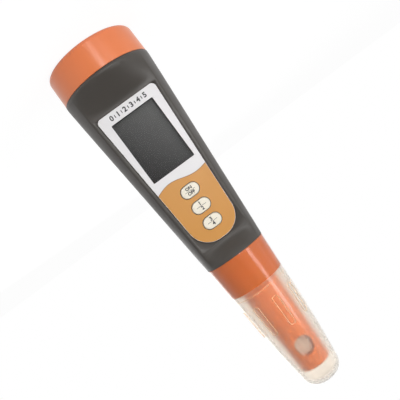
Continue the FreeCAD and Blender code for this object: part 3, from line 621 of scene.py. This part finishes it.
# %% Thread tree
def thread_tree():
    """Round beads along a helix with several starts."""
    inputs = {"Radius": 0.017, "Lead": 0.005, "Turns": 1.0, "Starts": 2, "Bead": 0.00045}
    inputs.update({"Base": 0.0, "Material": None})
    group, given, out = new_group("screw_thread", "Geometry", inputs, SHAPES)
    line = {
        "Resolution": HELIX_STEPS,
        "Start Radius": given["Radius"],
        "End Radius": given["Radius"],
        "Rotations": given["Turns"],
        "Height": maths(group, "MULTIPLY", given["Lead"], given["Turns"]),
    }
    helix = add(group, "GeometryNodeCurveSpiral", inputs=line)
    level = add(group, "GeometryNodeSetCurveNormal", {"mode": "Z_UP"}, {0: helix.outputs[0]})
    bead = sweep_bead(group, level.outputs[0], given["Bead"], 12)
    end_tree(group, given, out, turned_copies(group, bead, given["Starts"], base=given["Base"]))
    return group


THREAD = thread_tree()
print(THREAD.name, len(THREAD.nodes), "nodes")

# %% Threads on the neck and in the cap
THREAD_LEAD = 5.0
THREAD_TURNS = 0.75
THREAD_STARTS = 2
THREAD_BEAD = 0.45
BEAD_SINK = 0.05
NECK_RADIUS = 17.2
NECK_THREAD_BASE = 4.9
CAP_THREAD_BASE = NECK_THREAD_BASE - THREAD_LEAD / THREAD_STARTS / 2
THREAD_SHAPE = {
    "lead": THREAD_LEAD * MM,
    "turns": THREAD_TURNS,
    "starts": THREAD_STARTS,
    "bead": THREAD_BEAD * MM,
}


def make_thread(name, radius, base, material, body, slot):
    """The thread beads on one of the two screwed pieces."""
    thread = grow(name, THREAD, radius=radius * MM, base=base * MM, material=material, **THREAD_SHAPE)
    print(name, len(thread.data.polygons), "faces")
    return dress(thread, material, body, slot)


neck_bead, cap_bead = NECK_RADIUS - BEAD_SINK, CAP_BORE + BEAD_SINK
make_thread("neck_thread", neck_bead, NECK_THREAD_BASE, HOUSING_GREY, "housing", "housing_grey")
make_thread("cap_thread", cap_bead, CAP_THREAD_BASE, CAP_ORANGE, "battery_cap", "cap_orange")

# %% [markdown]
# ## Label
#
# The label is a printed film that lies in a shallow recess of the flat, with openings for the display
# and the keys. Its print could be a pattern in the material, but print is thin and has crisp edges. So
# each colour is a film of its own, a hundredth of a millimetre in front of the one below, and its edges
# stay sharp from any distance.

# %% Label outline
LABEL_TOP = FLAT_TOP_Z + 1.6
LABEL_END = LABEL_TOP + 63.9
LABEL_HALF_TOP = 13.5
LABEL_TAPER = 0.0616
LABEL_CORNER = 1.8
FILM_FRONT = -0.1
FILM_BACK = 0.2
PRINT_STEP = 0.012
PRINT_INSET = 0.1
WINDOW_TOP = LABEL_TOP + 4.6
WINDOW_LENGTH = 27.3
WINDOW_WIDTH = 19.2
WINDOW_CORNER = 0.4
KEY_WIDTH = 7.6
KEY_HEIGHT = 4.85
KEY_GAP = 0.15
KEY_PITCH = 7.25
LAST_KEY = LABEL_END - 7.4
KEY_PLACES = {"power": LAST_KEY - 2 * KEY_PITCH, "hold": LAST_KEY - KEY_PITCH, "mode": LAST_KEY}
LABEL_STEPS = 16


def label_half(z):
    """Half of the label's width at a height along it."""
    return LABEL_HALF_TOP - (z - LABEL_TOP) * LABEL_TAPER


def label_outline(inset=0.0):
    """The label's outline: two small corners at the top and a half-round end."""
    top = LABEL_TOP + inset
    end = LABEL_END - inset
    lean = math.atan(LABEL_TAPER)
    side = inset / math.cos(lean)
    half_top = label_half(top) - side
    half_end = label_half(end) - side
    end_radius = half_end / math.tan((math.pi / 2 + lean) / 2) * NEARLY
    corners = [
        (-half_top, top, LABEL_CORNER - inset),
        (half_top, top, LABEL_CORNER - inset),
        (half_end, end, end_radius),
        (-half_end, end, end_radius),
    ]
    return rounded(corners, LABEL_STEPS)


print("label from", round(LABEL_TOP, 2), "to", round(LABEL_END, 2), "mm")

# %% White film
EDGE = 0.03


def opening(name, outline):
    """Cutter through the label."""
    return film(name, outline, FILM_FRONT - 1, FILM_BACK + 1)


def key_openings():
    """Cutters for the three keys."""
    size = (KEY_WIDTH + 2 * KEY_GAP, KEY_HEIGHT + 2 * KEY_GAP)
    return [opening("opening_" + name, oval(*size, z)) for name, z in KEY_PLACES.items()]


window_sides = (-WINDOW_WIDTH / 2, WINDOW_WIDTH / 2, WINDOW_TOP, WINDOW_TOP + WINDOW_LENGTH)
window_outline = rounded(rectangle(*window_sides, WINDOW_CORNER))
label_face, label_rim = label_outline(EDGE), label_outline()
white_layers = [(label_face, FILM_FRONT), (label_rim, FILM_FRONT + EDGE), (label_rim, FILM_BACK)]
white_film = stack("label_film", white_layers)
carve(white_film, opening("opening_window", window_outline), *key_openings())
dress(white_film, LABEL_WHITE, "housing", "label_film", "label")
print("label faces", len(white_film.data.polygons))

# %% Amber print and its wave
WAVE_MIDDLE = LABEL_TOP + 36.75
WAVE_BOW = 0.6
WAVE_SWING = 1.05
WAVE_HALF = label_half(WAVE_MIDDLE) - PRINT_INSET
WAVE_STEPS = 48
WAVE_LINE = 0.28
AMBER_FRONT = FILM_FRONT - PRINT_STEP


def wave(x):
    """Height of the border between the white and the amber print at a place across the label."""
    angle = math.pi * (x + WAVE_HALF) / (2 * WAVE_HALF)
    return WAVE_MIDDLE - WAVE_BOW * math.sin(angle) + WAVE_SWING * math.sin(2 * angle)


wave_places = [WAVE_HALF - 2 * WAVE_HALF * step / WAVE_STEPS for step in range(WAVE_STEPS + 1)]
amber_outline = [(x, wave(x)) for x in reversed(wave_places)]
amber_outline += [point for point in label_outline(PRINT_INSET) if point[1] > WAVE_MIDDLE]
amber_print = film("amber_print", amber_outline, AMBER_FRONT, FILM_FRONT + EDGE)
carve(amber_print, *key_openings())
dress(amber_print, LABEL_AMBER, "housing", "label_film")

wave_top = [(x, wave(x) - WAVE_LINE / 2) for x in wave_places]
wave_low = [(x, wave(x) + WAVE_LINE / 2) for x in reversed(wave_places)]
wave_line = film("wave_line", wave_top + wave_low, AMBER_FRONT - PRINT_STEP, FILM_FRONT + EDGE)
dress(wave_line, WAVE_BROWN, "housing", "label_film")
print("amber faces", len(amber_print.data.polygons), "wave faces", len(wave_line.data.polygons))

# %% [markdown]
# ## Scale and key print
#
# Above the display stands a plain scale, numbers with ticks between them. The ticks repeat, so a tree
# makes them: a row of points, and a thin bar on each. Numbers could be drawn as curves by hand, but
# text objects have even strokes, and are turned to meshes and laid on the surface. The tester stands on
# its cap here and is read with its cap up, so print is turned half round.

# %% Print helpers
PRINT_TURN = Matrix.Rotation(math.pi, 4, "Y") @ Matrix.Rotation(math.pi / 2, 4, "X")


def printed_text(name, words, height, weight, x, z, depth):
    """A printed word that is centred on a place of the flat."""
    curve = bpy.data.curves.new(name, "FONT")
    curve.body = words
    curve.size = height * MM
    curve.align_x = "CENTER"
    curve.align_y = "CENTER"
    curve.offset = weight * MM
    curve.extrude = PRINT_STEP * MM
    curve.resolution_u = 4
    drawn = link(name, curve)
    bpy.context.view_layer.update()
    graph = bpy.context.evaluated_depsgraph_get()
    mesh = bpy.data.meshes.new_from_object(drawn.evaluated_get(graph))
    bpy.data.objects.remove(drawn)
    mesh.transform(ON_FLAT @ Matrix.Translation((x * MM, depth * MM, z * MM)) @ PRINT_TURN)
    return link(name, mesh)


# %% Scale tree
def scale_tree():
    """A row of printed ticks."""
    inputs = {"Count": 5, "Pitch": 0.003, "Length": 0.001, "Width": 0.0003}
    inputs.update({"Thickness": 0.00002, "Material": None})
    group, given, out = new_group("scale_ticks", "Geometry", inputs, SHAPES)
    steps = {"Count": given["Count"], "Offset": vector(group, X=given["Pitch"])}
    row = add(group, "GeometryNodeMeshLine", {"mode": "OFFSET"}, steps)
    size = vector(group, X=given["Width"], Y=given["Thickness"], Z=given["Length"])
    bar = add(group, "GeometryNodeMeshCube", inputs={"Size": size})
    spread = {"Points": row.outputs[0], "Instance": bar.outputs[0]}
    bars = add(group, "GeometryNodeInstanceOnPoints", inputs=spread)
    end_tree(group, given, out, bars.outputs[0])
    return group


SCALE = scale_tree()
print(SCALE.name, len(SCALE.nodes), "nodes")

# %% Scale above the display
SCALE_NUMBERS = 6
SCALE_PITCH = 3.1
SCALE_Z = LABEL_TOP + 2.35
NUMBER_HEIGHT = 2.8
NUMBER_WEIGHT = 0.1
TICK_LENGTH = 1.2
TICK_WIDTH = 0.32
TICK_COUNT = SCALE_NUMBERS - 1
ticks = grow(
    "scale_ticks",
    SCALE,
    count=TICK_COUNT,
    pitch=SCALE_PITCH * MM,
    length=TICK_LENGTH * MM,
    width=TICK_WIDTH * MM,
    thickness=2 * PRINT_STEP * MM,
    material=INK_AND_SHADE_DARK,
)
first_tick = -SCALE_PITCH * (TICK_COUNT - 1) / 2
ticks.data.transform(ON_FLAT @ Matrix.Translation((first_tick * MM, AMBER_FRONT * MM, SCALE_Z * MM)))
dress(ticks, INK_AND_SHADE_DARK, "housing", "label_film")
for number in range(SCALE_NUMBERS):
    x = SCALE_PITCH * ((SCALE_NUMBERS - 1) / 2 - number)
    place = (x, SCALE_Z, AMBER_FRONT)
    figure = printed_text(f"scale_{number}", str(number), NUMBER_HEIGHT, NUMBER_WEIGHT, *place)
    dress(figure, INK_AND_SHADE_DARK, "housing", "label_film")
print("scale numbers", SCALE_NUMBERS, "ticks", TICK_COUNT)

# %% [markdown]
# ## Keys
#
# Each key is an oval cap with a rounded rim, a flange under the housing wall and a stem to its switch.
# A block with a Bevel modifier would round all its edges alike, so the key is a stack of ovals from the
# crowned face to the stem's end, each with its own size. A thin dark ring of painted shade stands for
# the shadow in the gap round each key.

# %% Keys
KEY_FRONT = -0.65
KEY_CROWN = 1.1
KEY_RIM = 0.3
RIM_STEPS = 5
FLANGE_FRONT = 2.1
FLANGE_BACK = 2.8
FLANGE_MARGIN = 0.7
STEM_RADIUS = 1.6
STEM_END = 4.77
DOME_RISE = 0.05


def key_oval(z, extra):
    """Oval of a key, grown or shrunk all round."""
    return oval(KEY_WIDTH + 2 * extra, KEY_HEIGHT + 2 * extra, z)


def make_key(name, z):
    """A key with a rounded rim, its flange and its stem."""
    layers = [(key_oval(z, -KEY_CROWN), KEY_FRONT)]
    for step in range(RIM_STEPS + 1):
        angle = math.pi / 2 * step / RIM_STEPS
        inset = KEY_RIM * (1 - math.sin(angle))
        layers.append((key_oval(z, -inset), KEY_FRONT + DOME_RISE + KEY_RIM * (1 - math.cos(angle))))
    stem = oval(2 * STEM_RADIUS, 2 * STEM_RADIUS, z)
    layers += [
        (key_oval(z, 0), FLANGE_FRONT),
        (key_oval(z, FLANGE_MARGIN), FLANGE_FRONT),
        (key_oval(z, FLANGE_MARGIN), FLANGE_BACK),
        (stem, FLANGE_BACK),
        (stem, STEM_END),
    ]
    key = stack(f"key_{name}_surface", layers)
    return dress(key, KEY_CREAM, "key_" + name, "key_cream", "key_" + name)


# %% Painted shade rings and print of the keys
KEY_SHADE_WIDTH = 0.15
KEY_WORDS = {"power": ("ON", "OFF"), "hold": ("1", "2"), "mode": ("3", "4")}
WORD_HEIGHTS = {"power": 1.75, "hold": 2.1, "mode": 2.1}
WORD_WEIGHT = 0.07
WORD_DEPTH = KEY_FRONT - PRINT_STEP / 2
WORD_SHIFTS = {"upper": -1.0, "lower": 1.0}
BAR_HALF = 2.2
BAR_WEIGHT = 0.07


def print_key(name, z):
    """The dark ring of painted shade round a key, its two words and the bar between them."""
    # The ring is a dark film of painted shade, where the gap round the key casts its shadow.
    key_shade_outline = key_oval(z, KEY_GAP + KEY_SHADE_WIDTH)
    ring = film("ring_" + name, key_shade_outline, AMBER_FRONT - PRINT_STEP, FILM_FRONT + EDGE)
    carve(ring, opening("ring_opening", key_oval(z, KEY_GAP)))
    dress(ring, INK_AND_SHADE_DARK, "housing", "label_film")
    for (place, shift), words in zip(WORD_SHIFTS.items(), KEY_WORDS[name]):
        spot = (0, z + shift, WORD_DEPTH)
        word = printed_text(f"{name}_{place}", words, WORD_HEIGHTS[name], WORD_WEIGHT, *spot)
        dress(word, INK_AND_SHADE_DARK, "key_" + name, "key_cream")
    bar = rectangle(-BAR_HALF, BAR_HALF, z - BAR_WEIGHT, z + BAR_WEIGHT)
    divider = film("divider_" + name, bar, KEY_FRONT - PRINT_STEP, KEY_FRONT + PRINT_STEP)
    dress(divider, INK_AND_SHADE_DARK, "key_" + name, "key_cream")


for name, z in KEY_PLACES.items():
    make_key(name, z)
    print_key(name, z)
print("keys", len(KEY_PLACES))

# %% [markdown]
# ## Probe and clear cap
#
# The probe is one orange moulding: a keyed spigot, a stub that carries the clear cap and a long nose
# with two guard windows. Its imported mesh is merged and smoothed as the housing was, since its windows
# and slots are exact there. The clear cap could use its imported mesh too, but light bends at each of
# its walls, and a faceted wall would show. So both walls are spun anew with fine steps, and so is the
# thin ring that marks the step inside it.

# %% Probe surface
probe_surface = copy_node("probe")
dress(probe_surface, PROBE_ORANGE, "housing", "probe_orange", "probe")
print("probe faces", len(probe_surface.data.polygons))

# %% Clear cap surface
CLEAR_MOUTH_RADIUS = 13.1
CLEAR_MOUTH_WALL = 1.1
CLEAR_TAPER = 0.0740
CLEAR_WALL = 1.5
CLEAR_BEND_Z = SEAM_Z + 40.6
CLEAR_BEND_RADIUS = 10.4
CLEAR_BEND_ROUND = 150.0
CLEAR_SHOULDER_Z = SEAM_Z + 56.1
CLEAR_SHOULDER_RADIUS = 8.6
CLEAR_SHOULDER_ROUND = 40.0
CLEAR_TIP_RADIUS = 7.9
CLEAR_TIP_ROUND = 5.3
CLEAR_STEP_Z = SEAM_Z + 15.0
CLEAR_STEP_END = CLEAR_STEP_Z + 9.0
CLEAR_STEP_ROUND = 6.0
MOUTH_INSIDE_ROUND = 0.15
MOUTH_OUTSIDE_ROUND = 0.3
FACING_DOWN = -0.7
STUB_BITE = 0.17
INNER_MOUTH = CLEAR_MOUTH_RADIUS - CLEAR_MOUTH_WALL - STUB_BITE


def clear_radius(z):
    """Outside radius of the clear cap below its bend."""
    share = (z - SEAM_Z) / (CLEAR_BEND_Z - SEAM_Z)
    return CLEAR_MOUTH_RADIUS + (CLEAR_BEND_RADIUS - CLEAR_MOUTH_RADIUS) * share


tip_inside = TIP_Z - CLEAR_WALL
outer_wall = [
    (INNER_MOUTH, SEAM_Z, MOUTH_INSIDE_ROUND),
    (CLEAR_MOUTH_RADIUS, SEAM_Z, MOUTH_OUTSIDE_ROUND),
    (CLEAR_BEND_RADIUS, CLEAR_BEND_Z, CLEAR_BEND_ROUND),
    (CLEAR_SHOULDER_RADIUS, CLEAR_SHOULDER_Z, CLEAR_SHOULDER_ROUND),
    (CLEAR_TIP_RADIUS, TIP_Z, CLEAR_TIP_ROUND),
    (0, TIP_Z, 0),
]
inner_wall = [
    (0, tip_inside, 0),
    (CLEAR_TIP_RADIUS - CLEAR_WALL, tip_inside, CLEAR_TIP_ROUND - CLEAR_WALL),
    (CLEAR_SHOULDER_RADIUS - CLEAR_WALL, CLEAR_SHOULDER_Z, CLEAR_SHOULDER_ROUND),
    (CLEAR_BEND_RADIUS - CLEAR_WALL, CLEAR_BEND_Z, CLEAR_BEND_ROUND),
    (clear_radius(CLEAR_STEP_END) - CLEAR_WALL, CLEAR_STEP_END, CLEAR_STEP_ROUND),
    (INNER_MOUTH - (CLEAR_STEP_Z - SEAM_Z) * CLEAR_TAPER, CLEAR_STEP_Z, CLEAR_STEP_ROUND),
]
clear_surface = lathe("clear_cap_surface", outer_wall + inner_wall, steps=12, around=192)
dress(clear_surface, CLEAR_SHELL, "clear_cap", "clear_plastic", "clear_cap")
clear_surface.data.materials.append(CLEAR_INSIDE)
for face in clear_surface.data.polygons:
    middle, facing = face.center, face.normal
    inwards = facing.x * middle.x + facing.y * middle.y < 0
    floor_of_tip = facing.z < FACING_DOWN and middle.z > CLEAR_BEND_Z * MM
    face.material_index = 1 if inwards or floor_of_tip else 0
print("clear cap faces", len(clear_surface.data.polygons))

# %% Ring inside the clear cap
RING_Z = CLEAR_STEP_Z + 1.6
RING_SINK = 0.1
RING_RADIUS = INNER_MOUTH - (RING_Z - SEAM_Z) * CLEAR_TAPER - RING_SINK
RING_BEAD = 0.12
RING_ROUND = RING_BEAD * 0.99
ring_walls = (RING_RADIUS - RING_BEAD, RING_RADIUS + RING_BEAD)
ring_section = rectangle(*ring_walls, RING_Z - RING_BEAD, RING_Z + RING_BEAD, RING_ROUND)
inner_ring = lathe("clear_inner_ring", ring_section, steps=6)
# The ring's light cream colour is a painted highlight.
dress(inner_ring, CLEAR_EDGE_HIGHLIGHT, "clear_cap", "clear_plastic")
print("inner ring faces", len(inner_ring.data.polygons))

# %% [markdown]
# ## Grip frames on the clear cap
#
# Thin raised frames stand along the clear cap, so that wet fingers can pull it off. Each could be a
# bevelled curve that is shrunk onto the cap, but they repeat and follow its taper. So a tree draws one
# flat rounded rectangle, bends it onto the cone and turns copies of it about the axis.

# %% Grip frame tree
def grip_tree():
    """Thin beads as frames that are bent onto a tapered shell and repeated round it."""
    inputs = {"Count": 8, "First Angle": 0.0, "Width": 0.0024, "Length": 0.013, "Corner": 0.0006}
    inputs.update({"Middle": 0.126, "Radius": 0.011, "Taper": 0.067, "Bead": 0.00015, "Material": None})
    group, given, out = new_group("grip_frames", "Geometry", inputs, SHAPES)
    sides = {"Width": given["Width"], "Height": given["Length"]}
    sharp = add(group, "GeometryNodeCurvePrimitiveQuadrilateral", {"mode": "RECTANGLE"}, sides)
    corners = {"Curve": sharp.outputs[0], "Radius": given["Corner"], "Count": CORNER_STEPS}
    soft = add(group, "GeometryNodeFilletCurve", {"mode": "POLY"}, corners)
    steps = {"Curve": soft.outputs[0], "Length": FRAME_STEP}
    fine = add(group, "GeometryNodeResampleCurve", {"mode": "LENGTH"}, steps)
    place = group.nodes.new("GeometryNodeInputPosition").outputs[0]
    flat = add(group, "ShaderNodeSeparateXYZ", inputs={0: place}).outputs
    angle = maths(group, "DIVIDE", flat["X"], given["Radius"])
    narrow = maths(group, "MULTIPLY", flat["Y"], given["Taper"])
    radius = maths(group, "SUBTRACT", given["Radius"], narrow)
    back = maths(group, "MULTIPLY", maths(group, "COSINE", angle), radius)
    bent = vector(
        group,
        X=maths(group, "MULTIPLY", maths(group, "SINE", angle), radius),
        Y=maths(group, "MULTIPLY", back, -1.0),
        Z=maths(group, "ADD", flat["Y"], given["Middle"]),
    )
    lay = {"Geometry": fine.outputs[0], "Position": bent}
    laid = add(group, "GeometryNodeSetPosition", inputs=lay)
    bead = sweep_bead(group, laid.outputs[0], given["Bead"], 8)
    end_tree(group, given, out, turned_copies(group, bead, given["Count"], given["First Angle"]))
    return group


GRIP = grip_tree()
print(GRIP.name, len(GRIP.nodes), "nodes")

# %% Grip frames
GRIP_COUNT = 8
GRIP_MIDDLE = SEAM_Z + 27.6
GRIP_LENGTH = 12.9
GRIP_WIDTH = 2.4
GRIP_CORNER = 0.6
GRIP_BEAD = 0.15
GRIP_FIRST_ANGLE = 37.0
# The frames' light cream colour is a painted highlight.
grip_frames = grow(
    "grip_frames",
    GRIP,
    count=GRIP_COUNT,
    width=GRIP_WIDTH * MM,
    length=GRIP_LENGTH * MM,
    corner=GRIP_CORNER * MM,
    middle=GRIP_MIDDLE * MM,
    radius=clear_radius(GRIP_MIDDLE) * MM,
    taper=(CLEAR_MOUTH_RADIUS - CLEAR_BEND_RADIUS) / (CLEAR_BEND_Z - SEAM_Z),
    bead=GRIP_BEAD * MM,
    first_angle=math.radians(GRIP_FIRST_ANGLE),
    material=CLEAR_EDGE_HIGHLIGHT,
)
dress(grip_frames, CLEAR_EDGE_HIGHLIGHT, "clear_cap", "clear_plastic")
print("grip frames", len(grip_frames.data.polygons), "faces")

# %% [markdown]
# ## Pieces behind the caps
#
# The cells, seals and pins come into view when a cap is off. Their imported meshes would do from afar,
# but they are round, and their facets catch the light up close. So the helper for turned shapes spins
# them with fine steps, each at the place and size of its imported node.

# %% Cells, seals and pins
CELL_RIM = 0.5
CELL_CRIMP = 0.5
CELL_CAP_RADIUS = 4.6
METAL_ROUND = 0.3
CRIMP_ROUND = 0.1


def make_cell(node, contact_down):
    """A button cell: a crimped can and a smaller contact on one side."""
    low, high = span(node)
    radius = (high[0] - low[0]) / 2
    middle = ((low[0] + high[0]) / 2, (low[1] + high[1]) / 2)
    tall = high[2] - low[2]
    crimp_end = tall - CELL_CRIMP
    corners = [
        (0, 0, 0),
        (radius, 0, CELL_RIM),
        (radius, crimp_end - CELL_CRIMP, METAL_ROUND),
        (CELL_CAP_RADIUS + CELL_CRIMP, crimp_end, CRIMP_ROUND),
        (CELL_CAP_RADIUS, crimp_end, 0),
        (CELL_CAP_RADIUS, tall, METAL_ROUND),
        (0, tall, 0),
    ]
    if contact_down:
        corners = [(r, tall - z, rounding) for r, z, rounding in corners]
    placed = [(r, low[2] + z, rounding) for r, z, rounding in corners]
    cell = lathe(node + "_surface", placed, steps=6, around=96, place=middle)
    return dress(cell, CELL_STEEL, "housing", "cell_steel", node)


def make_seal(node):
    """A round rubber ring."""
    low, high = span(node)
    thick = high[2] - low[2]
    section = rectangle(high[0] - thick, high[0], low[2], high[2], thick / 2 * NEARLY)
    seal = lathe(node + "_surface", section, around=128)
    return dress(seal, RUBBER_BLACK, "housing", "rubber_black", node)


def make_pin(node):
    """A metal pin with a rounded tip."""
    low, high = span(node)
    radius = (high[0] - low[0]) / 2
    corners = [(0, low[2], 0), (radius, low[2], 0), (radius, high[2], METAL_ROUND), (0, high[2], 0)]
    middle = ((low[0] + high[0]) / 2, 0)
    pin = lathe(node + "_surface", corners, steps=6, around=32, place=middle)
    return dress(pin, PIN_METAL, "housing", "pin_metal", node)


inner_pieces = []
for side in ("left", "right"):
    inner_pieces += [make_cell(f"button_cell_{side}_{level}", side == "right") for level in (1, 2)]
inner_pieces += [make_seal(node) for node in ("neck_seal", "probe_seal")]
inner_pieces += [make_pin(node) for node in ("electrode_left", "electrode_right", "temperature_sensor")]
print("turned inner pieces", len(inner_pieces))

# %% [markdown]
# ## Camera
#
# The photograph looks at the tester from close by, square to its axis and level with its keys, with the
# object turned across the picture. The object could be tipped instead, but it has to keep its frame.
# So the camera is level with the keys too, and is rolled until the axis runs the same way.

# %% Camera
CAMERA_DISTANCE = 224.5
CAMERA_HEIGHT = HOUSING_BASE + 60.3
CAMERA_SHIFT = -1.3
CAMERA_ORBIT = math.radians(2.5)
CAMERA_ROLL = math.radians(-53.4)
CAMERA_LENS = 50.4

ahead = Vector((-math.sin(CAMERA_ORBIT), math.cos(CAMERA_ORBIT), 0))
across = Vector((math.cos(CAMERA_ORBIT), math.sin(CAMERA_ORBIT), 0))
upward = Vector((0, 0, 1))
right = upward * math.cos(CAMERA_ROLL) + across * math.sin(CAMERA_ROLL)
up = upward * math.sin(CAMERA_ROLL) - across * math.cos(CAMERA_ROLL)
stand = (across * CAMERA_SHIFT + upward * CAMERA_HEIGHT - ahead * CAMERA_DISTANCE) * MM

camera_data = bpy.data.cameras.new("camera")
camera_data.lens = CAMERA_LENS
camera_data.clip_start = 0.01
camera = bpy.data.objects.new("camera", camera_data)
camera.matrix_world = Matrix.Translation(stand) @ Matrix((right, up, -ahead)).transposed().to_4x4()
scene.collection.objects.link(camera)
scene.camera = camera
print("camera at", [round(value, 4) for value in stand])

# %% [markdown]
# ## Room and light
#
# The photograph has a white background and soft light. A plain white world would light the object from
# all sides and wash out its shape. So the world and the floor are white to the camera and behind the
# tester, and dimmer as light. A tall strip lamp leans with the taper and draws the long highlight on
# the clear cap and the probe, and a small low lamp draws the one on the battery cap.

# %% World
WHITE = (1, 1, 1, 1)


def seen_share(tree, share, mirrored_share):
    """A share for what is seen straight or through glass, another one for gloss, and 0 for light."""
    path = tree.nodes.new("ShaderNodeLightPath").outputs
    through = maths(tree, "MAXIMUM", path["Is Transmission Ray"], path["Is Glossy Ray"])
    unspread = maths(tree, "LESS_THAN", path["Diffuse Depth"], 0.5)
    through = maths(tree, "MULTIPLY", through, unspread)
    mirrored = maths(tree, "GREATER_THAN", path["Glossy Depth"], 0.5)
    straight = maths(tree, "MULTIPLY", maths(tree, "SUBTRACT", 1.0, mirrored), share)
    level = maths(tree, "MULTIPLY_ADD", mirrored, mirrored_share, straight)
    direct = maths(tree, "MULTIPLY", path["Is Camera Ray"], share)
    return maths(tree, "MAXIMUM", direct, maths(tree, "MULTIPLY", through, level))


def mix_shaders(tree, share, first, second):
    """Output of a mix of two shader nodes."""
    blend = {"Fac": share, 1: first.outputs[0], 2: second.outputs[0]}
    return add(tree, "ShaderNodeMixShader", inputs=blend).outputs[0]


WORLD_LIGHT = 0.38
WALL_RANGE = {"From Min": -0.5, "From Max": 0.4}
world = bpy.data.worlds.new("white_room")
scene.world = world
world.use_nodes = True
sky = world.node_tree
sky.nodes.clear()
aim = sky.nodes.new("ShaderNodeTexCoord").outputs["Generated"]
depth = add(sky, "ShaderNodeSeparateXYZ", inputs={0: aim}).outputs["Y"]
back_wall = add(sky, "ShaderNodeMapRange", inputs={"Value": depth, **WALL_RANGE}).outputs["Result"]
dim = add(sky, "ShaderNodeBackground", inputs={"Color": WHITE, "Strength": WORLD_LIGHT})
bright = add(sky, "ShaderNodeBackground", inputs={"Color": WHITE, "Strength": 1.0})
seen_sky = mix_shaders(sky, seen_share(sky, 1.0, back_wall), dim, bright)
add(sky, "ShaderNodeOutputWorld", inputs={"Surface": seen_sky})
print("world light", WORLD_LIGHT)

# %% Floor
FLOOR_REACH = 1.5
FLOOR_GREY = 0.85
FLOOR_GLOW = 1.09
GLOW_SHARE = 0.85
floor_mesh = bpy.data.meshes.new("floor")
floor_corners = rectangle(-FLOOR_REACH, FLOOR_REACH, -FLOOR_REACH, FLOOR_REACH, 0)
floor_mesh.from_pydata(floor_corners, [], [(0, 1, 2, 3)])
floor = link("floor", floor_mesh)
floor_white = bpy.data.materials.new("floor_white")
floor_white.use_nodes = True
ground = floor_white.node_tree
matte = ground.nodes["Principled BSDF"]
matte.inputs["Base Color"].default_value = (FLOOR_GREY, FLOOR_GREY, FLOOR_GREY, 1)
matte.inputs["Roughness"].default_value = 0.9
glow = add(ground, "ShaderNodeEmission", inputs={"Color": WHITE, "Strength": FLOOR_GLOW})
seen_floor = mix_shaders(ground, seen_share(ground, GLOW_SHARE, 1.0), matte, glow)
ground.links.new(seen_floor, ground.nodes["Material Output"].inputs["Surface"])
floor.data.materials.append(floor_white)
print("floor", 2 * FLOOR_REACH, "m wide")


# %% Lamps
def lamp(name, place, target, size, power, lean=0.0):
    """Rectangular soft light that faces a point and leans by an angle, all in metres and degrees."""
    light = bpy.data.lights.new(name, "AREA")
    light.shape = "RECTANGLE"
    light.size, light.size_y = size
    light.energy = power
    holder = bpy.data.objects.new(name, light)
    aim = (Vector(target) - Vector(place)).normalized()
    turn = aim.to_track_quat("-Z", "Y") @ Quaternion((0, 0, 1), math.radians(lean))
    holder.rotation_euler = turn.to_euler()
    holder.location = place
    holder.visible_transmission = False
    scene.collection.objects.link(holder)
    return holder


# Name, place, target, width and height, power, and lean.
lamp("strip_lamp", (-0.28, -0.36, 0.165), (0, 0, 0.14), (0.09, 0.32), 0.45, 29)
lamp("low_lamp", (-0.08, -0.40, 0.036), (0, 0, 0.03), (0.06, 0.09), 0.52)
lamp("side_lamp", (-0.55, -0.20, 0.22), (0, 0, 0.09), (0.60, 0.60), 0.75)
lamp("fill_lamp", (0.50, -0.50, 0.40), (0, 0, 0.08), (0.80, 0.80), 0.4)
lamp("back_lamp", (0.25, 0.60, 0.35), (0, 0, 0.08), (0.50, 0.50), 1.2)
scene.view_settings.view_transform = "Standard"
print("lamps", len(bpy.data.lights))
